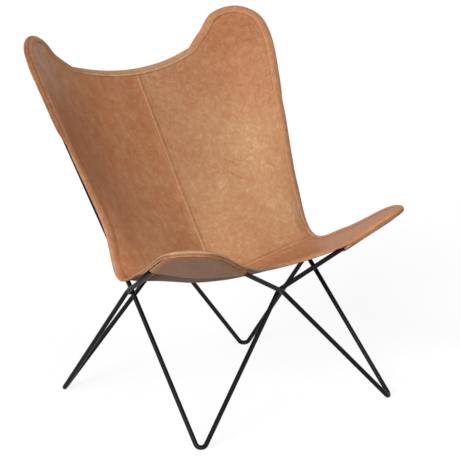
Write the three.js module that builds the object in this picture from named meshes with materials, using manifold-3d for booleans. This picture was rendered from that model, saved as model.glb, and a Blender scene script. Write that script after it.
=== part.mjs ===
// Butterfly sling chair: a leather sling hung by four pockets on the ears of a welded steel rod frame.
// Millimetres, Z up, origin on the floor under the middle of the chair's box.
// The sitter faces -Y, with their left at +X.

import * as THREE from 'three';
import { mergeVertices } from 'three/addons/utils/BufferGeometryUtils.js';
import loadManifold from 'manifold-3d';

const wasm = await loadManifold();
wasm.setup();

const vec = (x, y, z) => new THREE.Vector3(x, y, z);

function evenly(from, to, steps) {
  return Array.from({ length: steps + 1 }, (_, i) => from + (to - from) * i / steps);
}

// Sizes below are measured forward and back from the middle of the feet, and the origin lies behind it
const ORIGIN_BACK = 51;

// Rod frame
const ROD_DIAMETER = 12;
const FRONT_FOOT_HALF_SPAN = 320;
const FRONT_FOOT_FORWARD = 298;
const REAR_FOOT_HALF_SPAN = 312;
const REAR_FOOT_BACK = 298;
const FOOT_BEND_RADIUS = 14;
const FOOT_FLAT_DEPTH = 0.8;
const CROSSING_HEIGHT = 329;
const FRONT_CROSSING_FORWARD = 217;
const REAR_CROSSING_BACK = 241;
const SIDE_CROSSING_HALF_SPAN = 294;
const SIDE_CROSSING_BACK = 18;
const CROSSING_BEND_RADIUS = 30;
const CROSSING_CLEARANCE = 1.3;
const WELD_REACH = 10;

// Ears of the frame, given by the corner where their two straight rods would meet
const FRONT_EAR_HALF_SPAN = 381;
const FRONT_EAR_PAST_FOOT = 25;
const FRONT_EAR_HEIGHT = 532;
const FRONT_EAR_RADIUS = 59;
const BACK_EAR_HALF_SPAN = 444;
const BACK_EAR_BACK = 512;
const BACK_EAR_HEIGHT = 1249;
const BACK_EAR_RADIUS = 79;

// Leather sling
const LEATHER = 2.6;
const FIT_GAP = 0.3;
const PANEL_PAST_ROD = 5;
const EAR_EASE = 3.5;
const SIDE_DIP_OUT = 21;
const SIDE_DIP_ABOVE_CROSSING = 41;
const BINDING_WIDTH = 13;
const BINDING_THICKNESS = 4;
const BINDING_DROOP = 5.5;
const LAP = 12;
const LAP_GAP = 0.5;
const LAP_EASE = 120;
const MIDDLE_SEAM_TO_LEFT = 9;
const POCKET_PAST_ROD = 15.5;
const POCKET_SLACK = 7;
const POCKET_BELOW_BINDING = 1.5;

// Depth of the pockets from the tip of their ear to their mouth, on the outer and on the inner rod
const FRONT_POCKET_OUTER_DEPTH = 115;
const FRONT_POCKET_INNER_DEPTH = 148;
const BACK_POCKET_OUTER_DEPTH = 205;
const BACK_POCKET_INNER_DEPTH = 120;

// Middle of the sling from its top edge to its front edge, as back and height above the crossings
const CENTRE_PROFILE = [[381, 462], [267, 290], [127, 85], [70, 15], [15, -15], [-50, -3], [-188, 56]];

// A place on the top edge between its middle and an ear
const TOP_EDGE_HALF_SPAN = 160;
const TOP_EDGE_BACK = 384;
const TOP_EDGE_ABOVE_CROSSING = 485;

// Where the edge of the panels still follows a rod, measured down the rod from the bend of its ear
const BACK_EDGE_UPPER_HOLD = 205;
const BACK_EDGE_LOWER_HOLD = 430;
const FRONT_EDGE_OUTER_HOLD = 150;
const FRONT_EDGE_INNER_HOLD = 130;

// Place of the cross seam at the sides, and its bow forward in the middle, as shares of the sling's length
const CROSS_SEAM_AT = 0.667;
const CROSS_SEAM_BOW = 0.053;

// How far into the sling the shape of its top and front edges reaches, as a share of its length
const TOP_FADE_END = 0.75;
const FRONT_FADE_START = 0.25;

// Sag of the seat beside its edges, and where along the sling it starts, is full, fades and ends
const FLANK_SAG = 13;
const FLANK_SAG_RANGE = [0.45, 0.7, 0.75, 1];

// Fineness of the facets
const ROD_SIDES = 12;
const FOOT_BEND_STEPS = 9;
const EAR_BEND_STEPS = 12;
const CROSSING_BEND_STEPS = 2;
const ACROSS_STEPS = 11;
const BACK_STEPS = 24;
const SEAT_STEPS = 11;
const POCKET_SIDE_STEPS = 4;
const WELD_SIDES = 12;
const EDGE_SAMPLES = 60;
const BINDING_END_TRIM = 0.0005;
const TANGENT_STEP = 0.004;
const NORMAL_STEP = 0.02;
const SPEED_STEP = 0.01;

const ROD_RADIUS = ROD_DIAMETER / 2;
const SLING_ABOVE_ROD = ROD_RADIUS + 2 * FIT_GAP + LEATHER / 2;

// Materials
const finish = (color, roughness, metalness) => {
  return new THREE.MeshStandardMaterial({ color, roughness, metalness });
};
const steelPaint = () => finish(0x1c1b1d, 0.42, 0.25);
const leather = () => finish(0xa2683f, 0.55, 0);
const bindingLeather = () => finish(0x9a5f38, 0.5, 0);

const chair = new THREE.Group();
chair.name = 'butterfly_sling_chair';

function addPiece(name, geometry, material) {
  const mesh = new THREE.Mesh(geometry.translate(0, -ORIGIN_BACK, 0), material);
  mesh.name = name;
  chair.add(mesh);
}

// Solids from corner points and triangles

function signedVolume(points, triangles) {
  let volume = 0;
  for (const [a, b, c] of triangles) {
    volume += points[a].dot(points[b].clone().cross(points[c])) / 6;
  }
  return volume;
}

function solidFrom(points, triangles) {
  const outward = signedVolume(points, triangles) > 0;
  const ordered = outward ? triangles : triangles.map(([a, b, c]) => [a, c, b]);
  const geometry = new THREE.BufferGeometry().setFromPoints(points);
  geometry.setIndex(ordered.flat());
  return geometry;
}

function toManifold(geometry) {
  const bare = geometry.clone();
  bare.deleteAttribute('normal');
  bare.deleteAttribute('uv');
  const merged = mergeVertices(bare, 1e-4);
  const vertProperties = new Float32Array(merged.attributes.position.array);
  const triVerts = new Uint32Array(merged.index.array);
  return new wasm.Manifold(new wasm.Mesh({ numProp: 3, vertProperties, triVerts }));
}

function fromManifold(solid) {
  const mesh = solid.getMesh();
  const geometry = new THREE.BufferGeometry();
  geometry.setAttribute('position', new THREE.BufferAttribute(new Float32Array(mesh.vertProperties), 3));
  geometry.setIndex(Array.from(mesh.triVerts));
  return geometry;
}

// Rods: straight runs joined by round bends

function bendAt(before, corner, after, radius) {
  const inward = before.clone().sub(corner).normalize();
  const outward = after.clone().sub(corner).normalize();
  const halfAngle = inward.angleTo(outward) / 2;
  const toCentre = inward.clone().add(outward).normalize();
  const travel = outward.clone().sub(inward).normalize();
  const centre = corner.clone().addScaledVector(toCentre, radius / Math.sin(halfAngle));
  return { centre, toCentre, travel, radius, halfAngle, sweep: Math.PI - 2 * halfAngle };
}

function stationsOnBend(bend, from, to, steps) {
  return evenly(from, to, steps).map((share) => {
    const angle = (share - 0.5) * bend.sweep;
    const point = bend.centre.clone()
      .addScaledVector(bend.toCentre, -bend.radius * Math.cos(angle))
      .addScaledVector(bend.travel, bend.radius * Math.sin(angle));
    const tangent = bend.travel.clone().multiplyScalar(Math.cos(angle))
      .addScaledVector(bend.toCentre, Math.sin(angle));
    return { point, tangent };
  });
}

// A path that is sampled exactly at its stations
class StationPath extends THREE.Curve {
  constructor(stations) {
    super();
    this.stations = stations;
  }

  nearest(t) {
    return this.stations[Math.round(t * (this.stations.length - 1))];
  }

  getPointAt(t) {
    return this.nearest(t).point.clone();
  }

  getTangentAt(t) {
    return this.nearest(t).tangent.clone();
  }
}

function rodAlong(stations, diameter) {
  const section = new THREE.Shape().absarc(0, 0, diameter / 2, 0, 2 * Math.PI);
  const steps = stations.length - 1;
  const extrudePath = new StationPath(stations);
  return new THREE.ExtrudeGeometry(section, { steps, curveSegments: ROD_SIDES / 2, extrudePath });
}

// The frame is two closed rods that cross at the front, the rear and both sides.
// Each is divided at its crossings into two legs and two ear hoops.

const crossingSpread = (ROD_DIAMETER + CROSSING_CLEARANCE) / 2;

function frontCrossing(out) {
  return vec(0, -FRONT_CROSSING_FORWARD - out * crossingSpread, CROSSING_HEIGHT);
}

function rearCrossing(out) {
  return vec(0, REAR_CROSSING_BACK + out * crossingSpread, CROSSING_HEIGHT);
}

function sideCrossing(side, out) {
  return vec(side * (SIDE_CROSSING_HALF_SPAN + out * crossingSpread), SIDE_CROSSING_BACK, CROSSING_HEIGHT);
}

// The corner of a foot whose bend reaches just below the floor, by the depth of the flat under it
function footCorner(x, y, before, after) {
  const corner = vec(x, y, 0);
  for (let pass = 0; pass < 4; pass += 1) {
    const bend = bendAt(before, corner, after, FOOT_BEND_RADIUS);
    const drop = FOOT_BEND_RADIUS * Math.hypot(bend.toCentre.z, bend.travel.z);
    corner.z += ROD_RADIUS - FOOT_FLAT_DEPTH - (bend.centre.z - drop);
  }
  return corner;
}

// Corners of the closed rod whose front ear is on the given side; out is +1 where it passes outside
function rodCorners(side, out) {
  const front = frontCrossing(out);
  const rear = rearCrossing(out);
  const near = sideCrossing(side, 1);
  const far = sideCrossing(-side, -1);
  return {
    front,
    frontEar: vec(side * FRONT_EAR_HALF_SPAN, -FRONT_FOOT_FORWARD - FRONT_EAR_PAST_FOOT, FRONT_EAR_HEIGHT),
    near,
    rearFoot: footCorner(side * REAR_FOOT_HALF_SPAN, REAR_FOOT_BACK, near, rear),
    rear,
    backEar: vec(-side * BACK_EAR_HALF_SPAN, BACK_EAR_BACK, BACK_EAR_HEIGHT),
    far,
    frontFoot: footCorner(-side * FRONT_FOOT_HALF_SPAN, -FRONT_FOOT_FORWARD, far, front),
  };
}

function rodBends(corners) {
  const radii = {
    front: CROSSING_BEND_RADIUS,
    frontEar: FRONT_EAR_RADIUS,
    near: CROSSING_BEND_RADIUS,
    rearFoot: FOOT_BEND_RADIUS,
    rear: CROSSING_BEND_RADIUS,
    backEar: BACK_EAR_RADIUS,
    far: CROSSING_BEND_RADIUS,
    frontFoot: FOOT_BEND_RADIUS,
  };
  const names = Object.keys(radii);
  const bends = {};
  names.forEach((name, i) => {
    const before = corners[names.at(i - 1)];
    const after = corners[names[(i + 1) % names.length]];
    bends[name] = bendAt(before, corners[name], after, radii[name]);
  });
  return bends;
}

// Stations of one length of rod, from the middle of one crossing's bend to the middle of the next
function rodStations(first, middle, last, middleSteps, trim) {
  const from = 0.5 + trim / (first.radius * first.sweep);
  const to = 0.5 - trim / (last.radius * last.sweep);
  return [
    ...stationsOnBend(first, from, 1, CROSSING_BEND_STEPS),
    ...stationsOnBend(middle, 0, 1, middleSteps),
    ...stationsOnBend(last, 0, to, CROSSING_BEND_STEPS),
  ];
}

const SIDE_NAMES = { 1: 'left', '-1': 'right' };

// The rod with its front ear on the sitter's right passes outside the other at the front and the rear
const RODS = [
  { side: -1, out: 1 },
  { side: 1, out: -1 },
];

const lengths = [];
const ears = {};

for (const { side, out } of RODS) {
  const bends = rodBends(rodCorners(side, out));
  const here = SIDE_NAMES[side];
  const there = SIDE_NAMES[-side];
  ears[`front_${here}`] = bends.frontEar;
  ears[`back_${there}`] = bends.backEar;
  lengths.push(
    { name: `ear_hoop_front_${here}`, run: [bends.front, bends.frontEar, bends.near, EAR_BEND_STEPS] },
    { name: `leg_rear_${here}`, run: [bends.near, bends.rearFoot, bends.rear, FOOT_BEND_STEPS] },
    { name: `ear_hoop_back_${there}`, run: [bends.rear, bends.backEar, bends.far, EAR_BEND_STEPS] },
    { name: `leg_front_${there}`, run: [bends.far, bends.frontFoot, bends.front, FOOT_BEND_STEPS] },
  );
}

// Legs stand on a small flat under each foot
function standingOnFloor(geometry) {
  const size = 4 * BACK_EAR_HEIGHT;
  const floor = new THREE.BoxGeometry(size, size, size).translate(0, 0, -size / 2);
  return fromManifold(toManifold(geometry).subtract(toManifold(floor)));
}

for (const { name, run } of lengths) {
  const rod = rodAlong(rodStations(...run, FIT_GAP / 2), ROD_DIAMETER);
  addPiece(name, name.startsWith('leg') ? standingOnFloor(rod) : rod, steelPaint());
}

// Welds fill the corners between two rods that cross

const roomForRods = lengths
  .map(({ run }) => toManifold(rodAlong(rodStations(...run, -FIT_GAP), ROD_DIAMETER + 2 * FIT_GAP)))
  .reduce((all, rod) => all.add(rod));

function weld(centre, spreadAxis) {
  const reach = vec(WELD_REACH, WELD_REACH, WELD_REACH);
  reach[spreadAxis] = ROD_RADIUS - FIT_GAP;
  const bead = new THREE.SphereGeometry(1, WELD_SIDES, WELD_SIDES).scale(reach.x, reach.y, reach.z);
  bead.translate(centre.x, centre.y, centre.z);
  return fromManifold(toManifold(bead).subtract(roomForRods));
}

addPiece('weld_front', weld(frontCrossing(0), 'y'), steelPaint());
addPiece('weld_rear', weld(rearCrossing(0), 'y'), steelPaint());
addPiece('weld_right', weld(sideCrossing(-1, 0), 'x'), steelPaint());
addPiece('weld_left', weld(sideCrossing(1, 0), 'x'), steelPaint());

// Places on an ear: round its bend, and along the two rods that lead to it.
// Reach is measured out from the rod's centre line, and lift towards the sitter.

function earAxes(bend) {
  const toTip = bend.toCentre.clone().negate();
  const up = toTip.clone().cross(bend.travel);
  if (up.z < 0) {
    up.negate();
  }
  return { toTip, outward: bend.travel, up };
}

function besideBend(bend, angle, reach, lift) {
  const { toTip, outward, up } = earAxes(bend);
  const radius = bend.radius + reach;
  return bend.centre.clone()
    .addScaledVector(toTip, radius * Math.cos(angle))
    .addScaledVector(outward, radius * Math.sin(angle))
    .addScaledVector(up, lift);
}

// The rod is the outer one for rodSide +1, which leads to the side crossing, and the inner one for -1
function besideRod(bend, rodSide, distance, reach, lift) {
  const { toTip, outward } = earAxes(bend);
  const shoulder = rodSide * (Math.PI / 2 - bend.halfAngle);
  return besideBend(bend, shoulder, reach, lift)
    .addScaledVector(outward, rodSide * distance * Math.sin(bend.halfAngle))
    .addScaledVector(toTip, -distance * Math.cos(bend.halfAngle));
}

// Edge of the leather panels from the middle of the top edge to the middle of the front edge, on one side
function halfOutline(side) {
  const back = ears[`back_${SIDE_NAMES[side]}`];
  const front = ears[`front_${SIDE_NAMES[side]}`];
  const round = (ear, share) => {
    const angle = share * (Math.PI / 2 - ear.halfAngle);
    return besideBend(ear, angle, PANEL_PAST_ROD, SLING_ABOVE_ROD + EAR_EASE * share ** 2);
  };
  const along = (ear, rodSide, distance, standOff = 1) => {
    return besideRod(ear, rodSide, distance, PANEL_PAST_ROD, SLING_ABOVE_ROD + EAR_EASE * standOff);
  };
  const dip = sideCrossing(side, 0);
  dip.x += side * SIDE_DIP_OUT;
  dip.z += SIDE_DIP_ABOVE_CROSSING;
  const besideEar = vec(side * TOP_EDGE_HALF_SPAN, TOP_EDGE_BACK, CROSSING_HEIGHT + TOP_EDGE_ABOVE_CROSSING);
  const backTip = round(back, 0);
  const frontTip = round(front, 0);
  const points = [
    besideEar,
    round(back, -1), round(back, -0.5), backTip, round(back, 0.5), round(back, 1),
    along(back, 1, BACK_EDGE_UPPER_HOLD), along(back, 1, BACK_EDGE_LOWER_HOLD, 2),
    dip,
    along(front, 1, FRONT_EDGE_OUTER_HOLD),
    round(front, 1), round(front, 0.5), frontTip, round(front, -0.5), round(front, -1),
    along(front, -1, FRONT_EDGE_INNER_HOLD),
  ];
  return { points, backTip, frontTip };
}

// Sling surface: four curved edges between the ear tips, pulled to the profile of its middle.
// Across runs 0 to 1 from the sitter's right to left, and along 0 to 1 from the top to the front edge.

const centreLine = new THREE.CatmullRomCurve3(
  CENTRE_PROFILE.map(([back, height]) => vec(0, back, CROSSING_HEIGHT + height)),
);
const leftHalf = halfOutline(1);
const rightHalf = halfOutline(-1);
const outlinePoints = [
  centreLine.points[0],
  ...leftHalf.points,
  centreLine.points.at(-1),
  ...rightHalf.points.toReversed(),
];
const outline = new THREE.CatmullRomCurve3(outlinePoints, true);

function edgeBetween(start, end) {
  const count = outlinePoints.length;
  const points = evenly(start, end, EDGE_SAMPLES)
    .map((place) => outline.getPoint(((place + count) % count) / count));
  return new THREE.CatmullRomCurve3(points);
}

const backLeft = outlinePoints.indexOf(leftHalf.backTip);
const frontLeft = outlinePoints.indexOf(leftHalf.frontTip);
const frontRight = outlinePoints.indexOf(rightHalf.frontTip);
const backRight = outlinePoints.indexOf(rightHalf.backTip);
const topEdge = edgeBetween(backRight - outlinePoints.length, backLeft);
const frontEdge = edgeBetween(frontRight, frontLeft);
const leftEdge = edgeBetween(backLeft, frontLeft);
const rightEdge = edgeBetween(backRight, frontRight);

function betweenEdges(across, along) {
  const { lerp, smoothstep } = THREE.MathUtils;
  const bow = (edge, right, left) => edge.getPointAt(across).sub(right.clone().lerp(left, across));
  const topBow = bow(topEdge, rightHalf.backTip, leftHalf.backTip);
  const frontBow = bow(frontEdge, rightHalf.frontTip, leftHalf.frontTip);
  return rightEdge.getPointAt(along).lerp(leftEdge.getPointAt(along), across)
    .addScaledVector(topBow, lerp(1, 0, smoothstep(along, 0, TOP_FADE_END)))
    .addScaledVector(frontBow, smoothstep(along, FRONT_FADE_START, 1));
}

// The sag is nothing at the edges and in the middle, and 27 / 4 brings its largest share to 1
function flankSag(across, along) {
  const { smoothstep } = THREE.MathUtils;
  const [start, full, fade, end] = FLANK_SAG_RANGE;
  const offMiddle = (2 * across - 1) ** 2;
  const besideEdge = 27 / 4 * (1 - offMiddle) * offMiddle ** 2;
  return FLANK_SAG * besideEdge * smoothstep(along, start, full) * (1 - smoothstep(along, fade, end));
}

function slingPoint(across, along) {
  const pull = centreLine.getPointAt(along).sub(betweenEdges(0.5, along));
  pull.multiplyScalar(4 * across * (1 - across));
  pull.z -= flankSag(across, along);
  return betweenEdges(across, along).add(pull);
}

function slingNormal(across, along) {
  const inside = (value) => THREE.MathUtils.clamp(value, 0, 1);
  const toLeft = slingPoint(inside(across + NORMAL_STEP), along);
  const toFront = slingPoint(across, inside(along + NORMAL_STEP));
  toLeft.sub(slingPoint(inside(across - NORMAL_STEP), along));
  toFront.sub(slingPoint(across, inside(along - NORMAL_STEP)));
  return toFront.cross(toLeft).normalize();
}

const crossSeamAt = (across) => CROSS_SEAM_AT + CROSS_SEAM_BOW * (4 * across * (1 - across)) ** 4;

// Millimetres of leather per unit of across at the middle seam, and of along at the cross seam
function speedAcross(along) {
  const right = slingPoint(0.5 - SPEED_STEP, along);
  return slingPoint(0.5 + SPEED_STEP, along).distanceTo(right) / (2 * SPEED_STEP);
}

function speedAlong(across) {
  const before = slingPoint(across, crossSeamAt(across) - SPEED_STEP);
  return slingPoint(across, crossSeamAt(across) + SPEED_STEP).distanceTo(before) / (2 * SPEED_STEP);
}

// Stops run from 0 to 3: 0 to 1 before a lapped seam, 1 to 2 over its lap and 2 to 3 after it
function throughSeam(stop, seam, halfLap) {
  const { lerp } = THREE.MathUtils;
  if (stop <= 1) return lerp(0, seam - halfLap, stop);
  if (stop <= 2) return lerp(seam - halfLap, seam + halfLap, stop - 1);
  return lerp(seam + halfLap, 1, stop - 2);
}

function slingPlace(acrossStop, alongStop) {
  const nearAcross = throughSeam(acrossStop, 0.5, 0);
  const along = throughSeam(alongStop, crossSeamAt(nearAcross), LAP / 2 / speedAlong(nearAcross));
  const seam = 0.5 + MIDDLE_SEAM_TO_LEFT / speedAcross(along);
  const across = throughSeam(acrossStop, seam, LAP / 2 / speedAcross(along));
  return [across, along];
}

const ACROSS_STOPS = [...evenly(0, 1, ACROSS_STEPS), ...evenly(2, 3, ACROSS_STEPS)];
const ALONG_STOPS = [...evenly(0, 1, BACK_STEPS), ...evenly(2, 3, SEAT_STEPS)];
const stopsWithin = (stops, from, to) => stops.filter((stop) => stop >= from && stop <= to);

// Two matching faces closed by a rim along the edges that only one triangle uses
function sheetSolid(front, back, triangles) {
  const behind = front.length;
  const edges = triangles.flatMap(([a, b, c]) => [[a, b], [b, c], [c, a]]);
  const used = new Set(edges.map(([a, b]) => `${a} ${b}`));
  const rim = edges.filter(([a, b]) => !used.has(`${b} ${a}`));
  return solidFrom([...front, ...back], [
    ...triangles,
    ...triangles.map(([a, b, c]) => [behind + a, behind + c, behind + b]),
    ...rim.flatMap(([a, b]) => [[b, a, behind + a], [b, behind + a, behind + b]]),
  ]);
}

function gridTriangles(columns, rows) {
  const at = (i, j) => j * (columns + 1) + i;
  const triangles = [];
  for (let j = 0; j < rows; j += 1) {
    for (let i = 0; i < columns; i += 1) {
      triangles.push([at(i, j), at(i, j + 1), at(i + 1, j + 1)], [at(i, j), at(i + 1, j + 1), at(i + 1, j)]);
    }
  }
  return triangles;
}

// Under a lap a panel lies behind the sling's surface by its own thickness, and eases out again beyond it
const layerStep = LEATHER + LAP_GAP;
const underLap = (distance) => 1 - THREE.MathUtils.smoothstep(distance, LAP / 2, LAP / 2 + LAP_EASE);

function panel(acrossStops, alongStops, layersBehind) {
  const faceAt = (side) => alongStops.flatMap((alongStop) => acrossStops.map((acrossStop) => {
    const [across, along] = slingPlace(acrossStop, alongStop);
    const depth = side * LEATHER / 2 - layersBehind(across, along) * layerStep;
    return slingPoint(across, along).addScaledVector(slingNormal(across, along), depth);
  }));
  return sheetSolid(faceAt(1), faceAt(-1), gridTriangles(acrossStops.length - 1, alongStops.length - 1));
}

const rightOfSeam = (across, along) => (0.5 - across) * speedAcross(along) + MIDDLE_SEAM_TO_LEFT;
const pastCrossSeam = (across, along) => (along - crossSeamAt(across)) * speedAlong(across);
const besideMiddleSeam = (across, along) => underLap(Math.max(rightOfSeam(across, along), 0));

function belowCrossSeam(across, along) {
  const nearMiddle = underLap(Math.abs(rightOfSeam(across, crossSeamAt(across))));
  return underLap(Math.max(pastCrossSeam(across, along), 0)) * (1 + nearMiddle);
}

const backStops = stopsWithin(ALONG_STOPS, 0, 2);
const seatStops = stopsWithin(ALONG_STOPS, 1, 3);
const rightStops = stopsWithin(ACROSS_STOPS, 0, 2);
const leftStops = stopsWithin(ACROSS_STOPS, 1, 3);
addPiece('back_panel_left', panel(leftStops, backStops, () => 0), leather());
addPiece('back_panel_right', panel(rightStops, backStops, besideMiddleSeam), leather());
addPiece('seat_panel', panel(ACROSS_STOPS, seatStops, belowCrossSeam), leather());

// Binding: a folded strip round the edge of the panels, in four lengths that meet at the ear tips

const BINDING_EDGES = {
  top: { stops: ACROSS_STOPS, at: (stop) => [stop, 0] },
  left: { stops: ALONG_STOPS, at: (stop) => [3, stop] },
  front: { stops: ACROSS_STOPS.toReversed(), at: (stop) => [stop, 3] },
  right: { stops: ALONG_STOPS.toReversed(), at: (stop) => [0, stop] },
};

function sweptSolid(rings) {
  const size = rings[0].length;
  const triangles = [];
  for (let r = 0; r < rings.length - 1; r += 1) {
    for (let k = 0; k < size; k += 1) {
      const a = r * size + k;
      const b = r * size + (k + 1) % size;
      triangles.push([a, b, b + size], [a, b + size, a + size]);
    }
  }
  const last = (rings.length - 1) * size;
  for (let k = 1; k < size - 1; k += 1) {
    triangles.push([0, k + 1, k], [last, last + k, last + k + 1]);
  }
  return solidFrom(rings.flat(), triangles);
}

const droopAt = (out) => BINDING_DROOP * out / BINDING_WIDTH;

function binding({ stops, at }) {
  const half = BINDING_THICKNESS / 2;
  const shoulder = BINDING_WIDTH - half;
  const section = [
    [FIT_GAP, -half], [shoulder, -half], [BINDING_WIDTH, -half / 3],
    [BINDING_WIDTH, half / 3], [shoulder, half], [FIT_GAP, half],
  ].map(([out, up]) => [out, up - droopAt(out)]);
  const { clamp } = THREE.MathUtils;
  const travel = Math.sign(stops.at(-1) - stops[0]);
  const rings = stops.map((stop) => {
    const inset = clamp(stop, BINDING_END_TRIM, 3 - BINDING_END_TRIM);
    const place = slingPlace(...at(inset));
    const edge = slingPoint(...place);
    const ahead = slingPoint(...slingPlace(...at(clamp(inset + travel * TANGENT_STEP, 0, 3))));
    const behind = slingPoint(...slingPlace(...at(clamp(inset - travel * TANGENT_STEP, 0, 3))));
    const normal = slingNormal(...place);
    const outward = normal.clone().cross(ahead.sub(behind)).normalize();
    return section.map(([out, up]) => edge.clone().addScaledVector(outward, out).addScaledVector(normal, up));
  });
  return sweptSolid(rings);
}

for (const [name, edge] of Object.entries(BINDING_EDGES)) {
  addPiece(`binding_${name}`, binding(edge), bindingLeather());
}

// Pockets: sewn under the binding round the ear, hugging the rod from behind, with a slanted mouth

// Section of a pocket from its rim to its flat middle, as reach and lift of its inner and outer face
function pocketSection() {
  const underBinding = SLING_ABOVE_ROD - BINDING_THICKNESS / 2 - droopAt(POCKET_PAST_ROD - PANEL_PAST_ROD);
  const rimLift = underBinding - POCKET_BELOW_BINDING;
  const hug = ROD_RADIUS + 2 * FIT_GAP;
  const roundRod = [-30, -60, -90].map((degrees) => {
    const angle = THREE.MathUtils.degToRad(degrees);
    const at = (radius) => [(radius + POCKET_SLACK) * Math.cos(angle), radius * Math.sin(angle)];
    return [at(hug), at(hug + LEATHER)];
  });
  const flat = -2 * ROD_RADIUS;
  return [
    [[POCKET_PAST_ROD, rimLift], [POCKET_PAST_ROD, rimLift - LEATHER]],
    ...roundRod,
    [[flat, -hug], [flat, -hug - LEATHER]],
  ];
}

function pocket(bend, outerDepth, innerDepth) {
  const section = pocketSection();
  const shoulder = Math.PI / 2 - bend.halfAngle;
  const shoulderDepth = bend.radius * (1 - Math.sin(bend.halfAngle));
  const downRod = (rodSide, depth) => {
    const mouth = (depth - shoulderDepth) / Math.cos(bend.halfAngle);
    return evenly(mouth, 0, POCKET_SIDE_STEPS)
      .map((distance) => (at) => besideRod(bend, rodSide, distance, ...at));
  };
  const roundBend = evenly(shoulder, -shoulder, EAR_BEND_STEPS).slice(1, -1)
    .map((angle) => (at) => besideBend(bend, angle, ...at));
  const stations = [...downRod(1, outerDepth), ...roundBend, ...downRod(-1, innerDepth).toReversed()];
  const faceAt = (face) => stations.flatMap((place) => section.map((point) => place(point[face])));

  const columns = section.length - 1;
  const rows = stations.length - 1;
  const triangles = gridTriangles(columns, rows);
  const inner = (row) => row * section.length + columns;
  for (let row = 0; row < rows / 2; row += 1) {
    const [a, b, c, d] = [row, row + 1, rows - row - 1, rows - row].map(inner);
    triangles.push([a, b, d]);
    if (b !== c) triangles.push([b, c, d]);
  }
  return sheetSolid(faceAt(0), faceAt(1), triangles);
}

for (const [name, bend] of Object.entries(ears)) {
  const depths = name.startsWith('front')
    ? [FRONT_POCKET_OUTER_DEPTH, FRONT_POCKET_INNER_DEPTH]
    : [BACK_POCKET_OUTER_DEPTH, BACK_POCKET_INNER_DEPTH];
  addPiece(`pocket_${name}`, pocket(bend, ...depths), leather());
}

export default chair;
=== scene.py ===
# %% [markdown]
# # A butterfly sling chair in leather and steel rod
#
# The real chair is two closed loops of bent steel rod, welded where they cross, with one leather sling hung
# over the four ears of the frame by pockets. The CAD model gives every size and place, so this lesson adds
# what CAD leaves plain: smooth rods, real leather with laps, a folded binding and stitches, and the finishes.

# %% Load the CAD model as a fixed frame
import math

import bpy
import numpy as np
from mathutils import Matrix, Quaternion, Vector, kdtree, noise


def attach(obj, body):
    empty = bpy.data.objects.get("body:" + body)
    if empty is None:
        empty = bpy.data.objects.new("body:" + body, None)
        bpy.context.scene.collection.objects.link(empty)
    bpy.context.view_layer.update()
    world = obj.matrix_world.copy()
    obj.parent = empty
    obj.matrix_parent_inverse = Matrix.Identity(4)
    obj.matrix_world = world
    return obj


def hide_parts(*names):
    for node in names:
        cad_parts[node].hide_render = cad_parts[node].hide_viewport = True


MM = 0.001
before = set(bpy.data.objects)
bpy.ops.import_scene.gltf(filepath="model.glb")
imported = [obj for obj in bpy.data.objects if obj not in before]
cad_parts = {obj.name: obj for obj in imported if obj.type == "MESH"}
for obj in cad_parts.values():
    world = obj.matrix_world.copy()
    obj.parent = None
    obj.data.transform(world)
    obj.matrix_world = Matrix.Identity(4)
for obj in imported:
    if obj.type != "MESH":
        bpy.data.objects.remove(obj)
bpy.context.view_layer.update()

# %% [markdown]
# ## Camera
#
# The photograph was taken with a long lens from the front, on the sitter's right, looking down a little.
# Turn, height and distance were fitted to the feet, the ears and the crossings of the rods, because these
# points are sharp in the picture and the CAD model gives their places.

# %% Stand the camera where the photograph was taken
VIEW_AZIMUTH, VIEW_ELEVATION, VIEW_ROLL = -39.4, 15.0, 0.2
VIEW_DISTANCE = 5.912
VIEW_TARGET = Vector((0.0086, -0.0581, 0.4406))
LENS, SENSOR_WIDTH = 180.9, 36


def towards(azimuth, elevation):
    """Direction from the chair at a turn from straight ahead and a height, both in degrees."""
    turn, rise = math.radians(azimuth), math.radians(elevation)
    return Vector((math.sin(turn) * math.cos(rise), -math.cos(turn) * math.cos(rise), math.sin(rise)))


backwards = towards(VIEW_AZIMUTH, VIEW_ELEVATION)
roll = Quaternion((0, 0, 1), math.radians(VIEW_ROLL))
bpy.ops.object.camera_add(location=VIEW_TARGET + backwards * VIEW_DISTANCE)
camera = bpy.context.object
camera.name = "camera"
camera.rotation_mode = "QUATERNION"
camera.rotation_quaternion = (-backwards).to_track_quat("-Z", "Y") @ roll
camera.data.lens = LENS
camera.data.sensor_width = SENSOR_WIDTH
bpy.context.scene.camera = camera
print("camera at", tuple(round(value, 3) for value in camera.location))

# %% [markdown]
# ## Colours and nodes
#
# Colours are given as sRGB hex values, and the shader wants linear light, so one function turns one
# into the other. Another small function adds a node with its settings and links. Every finish below is built
# from these two, with pattern sizes in millimetres.

# %% Helpers for the finishes


def linear(hex_colour):
    """An sRGB hex colour as linear red, green, blue and alpha."""
    channels = [int(hex_colour[i:i + 2], 16) / 255 for i in (1, 3, 5)]
    return [c / 12.92 if c <= 0.04045 else ((c + 0.055) / 1.055) ** 2.4 for c in channels] + [1.0]


def per_size(size_mm):
    """Texture scale whose features are about as wide as the given size."""
    return 1 / (size_mm * MM)


def feed(tree, node, inputs):
    """Gives each named input of a node its value, or a link from the output that feeds it."""
    for name, value in inputs.items():
        if isinstance(value, bpy.types.NodeSocket):
            tree.links.new(value, node.inputs[name])
        else:
            node.inputs[name].default_value = value


def add_node(tree, kind, inputs, **settings):
    """Adds a node with its settings and inputs, and returns its output."""
    node = tree.nodes.new(kind)
    for name, value in settings.items():
        setattr(node, name, value)
    feed(tree, node, inputs)
    return next(output for output in node.outputs if output.enabled)


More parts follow.
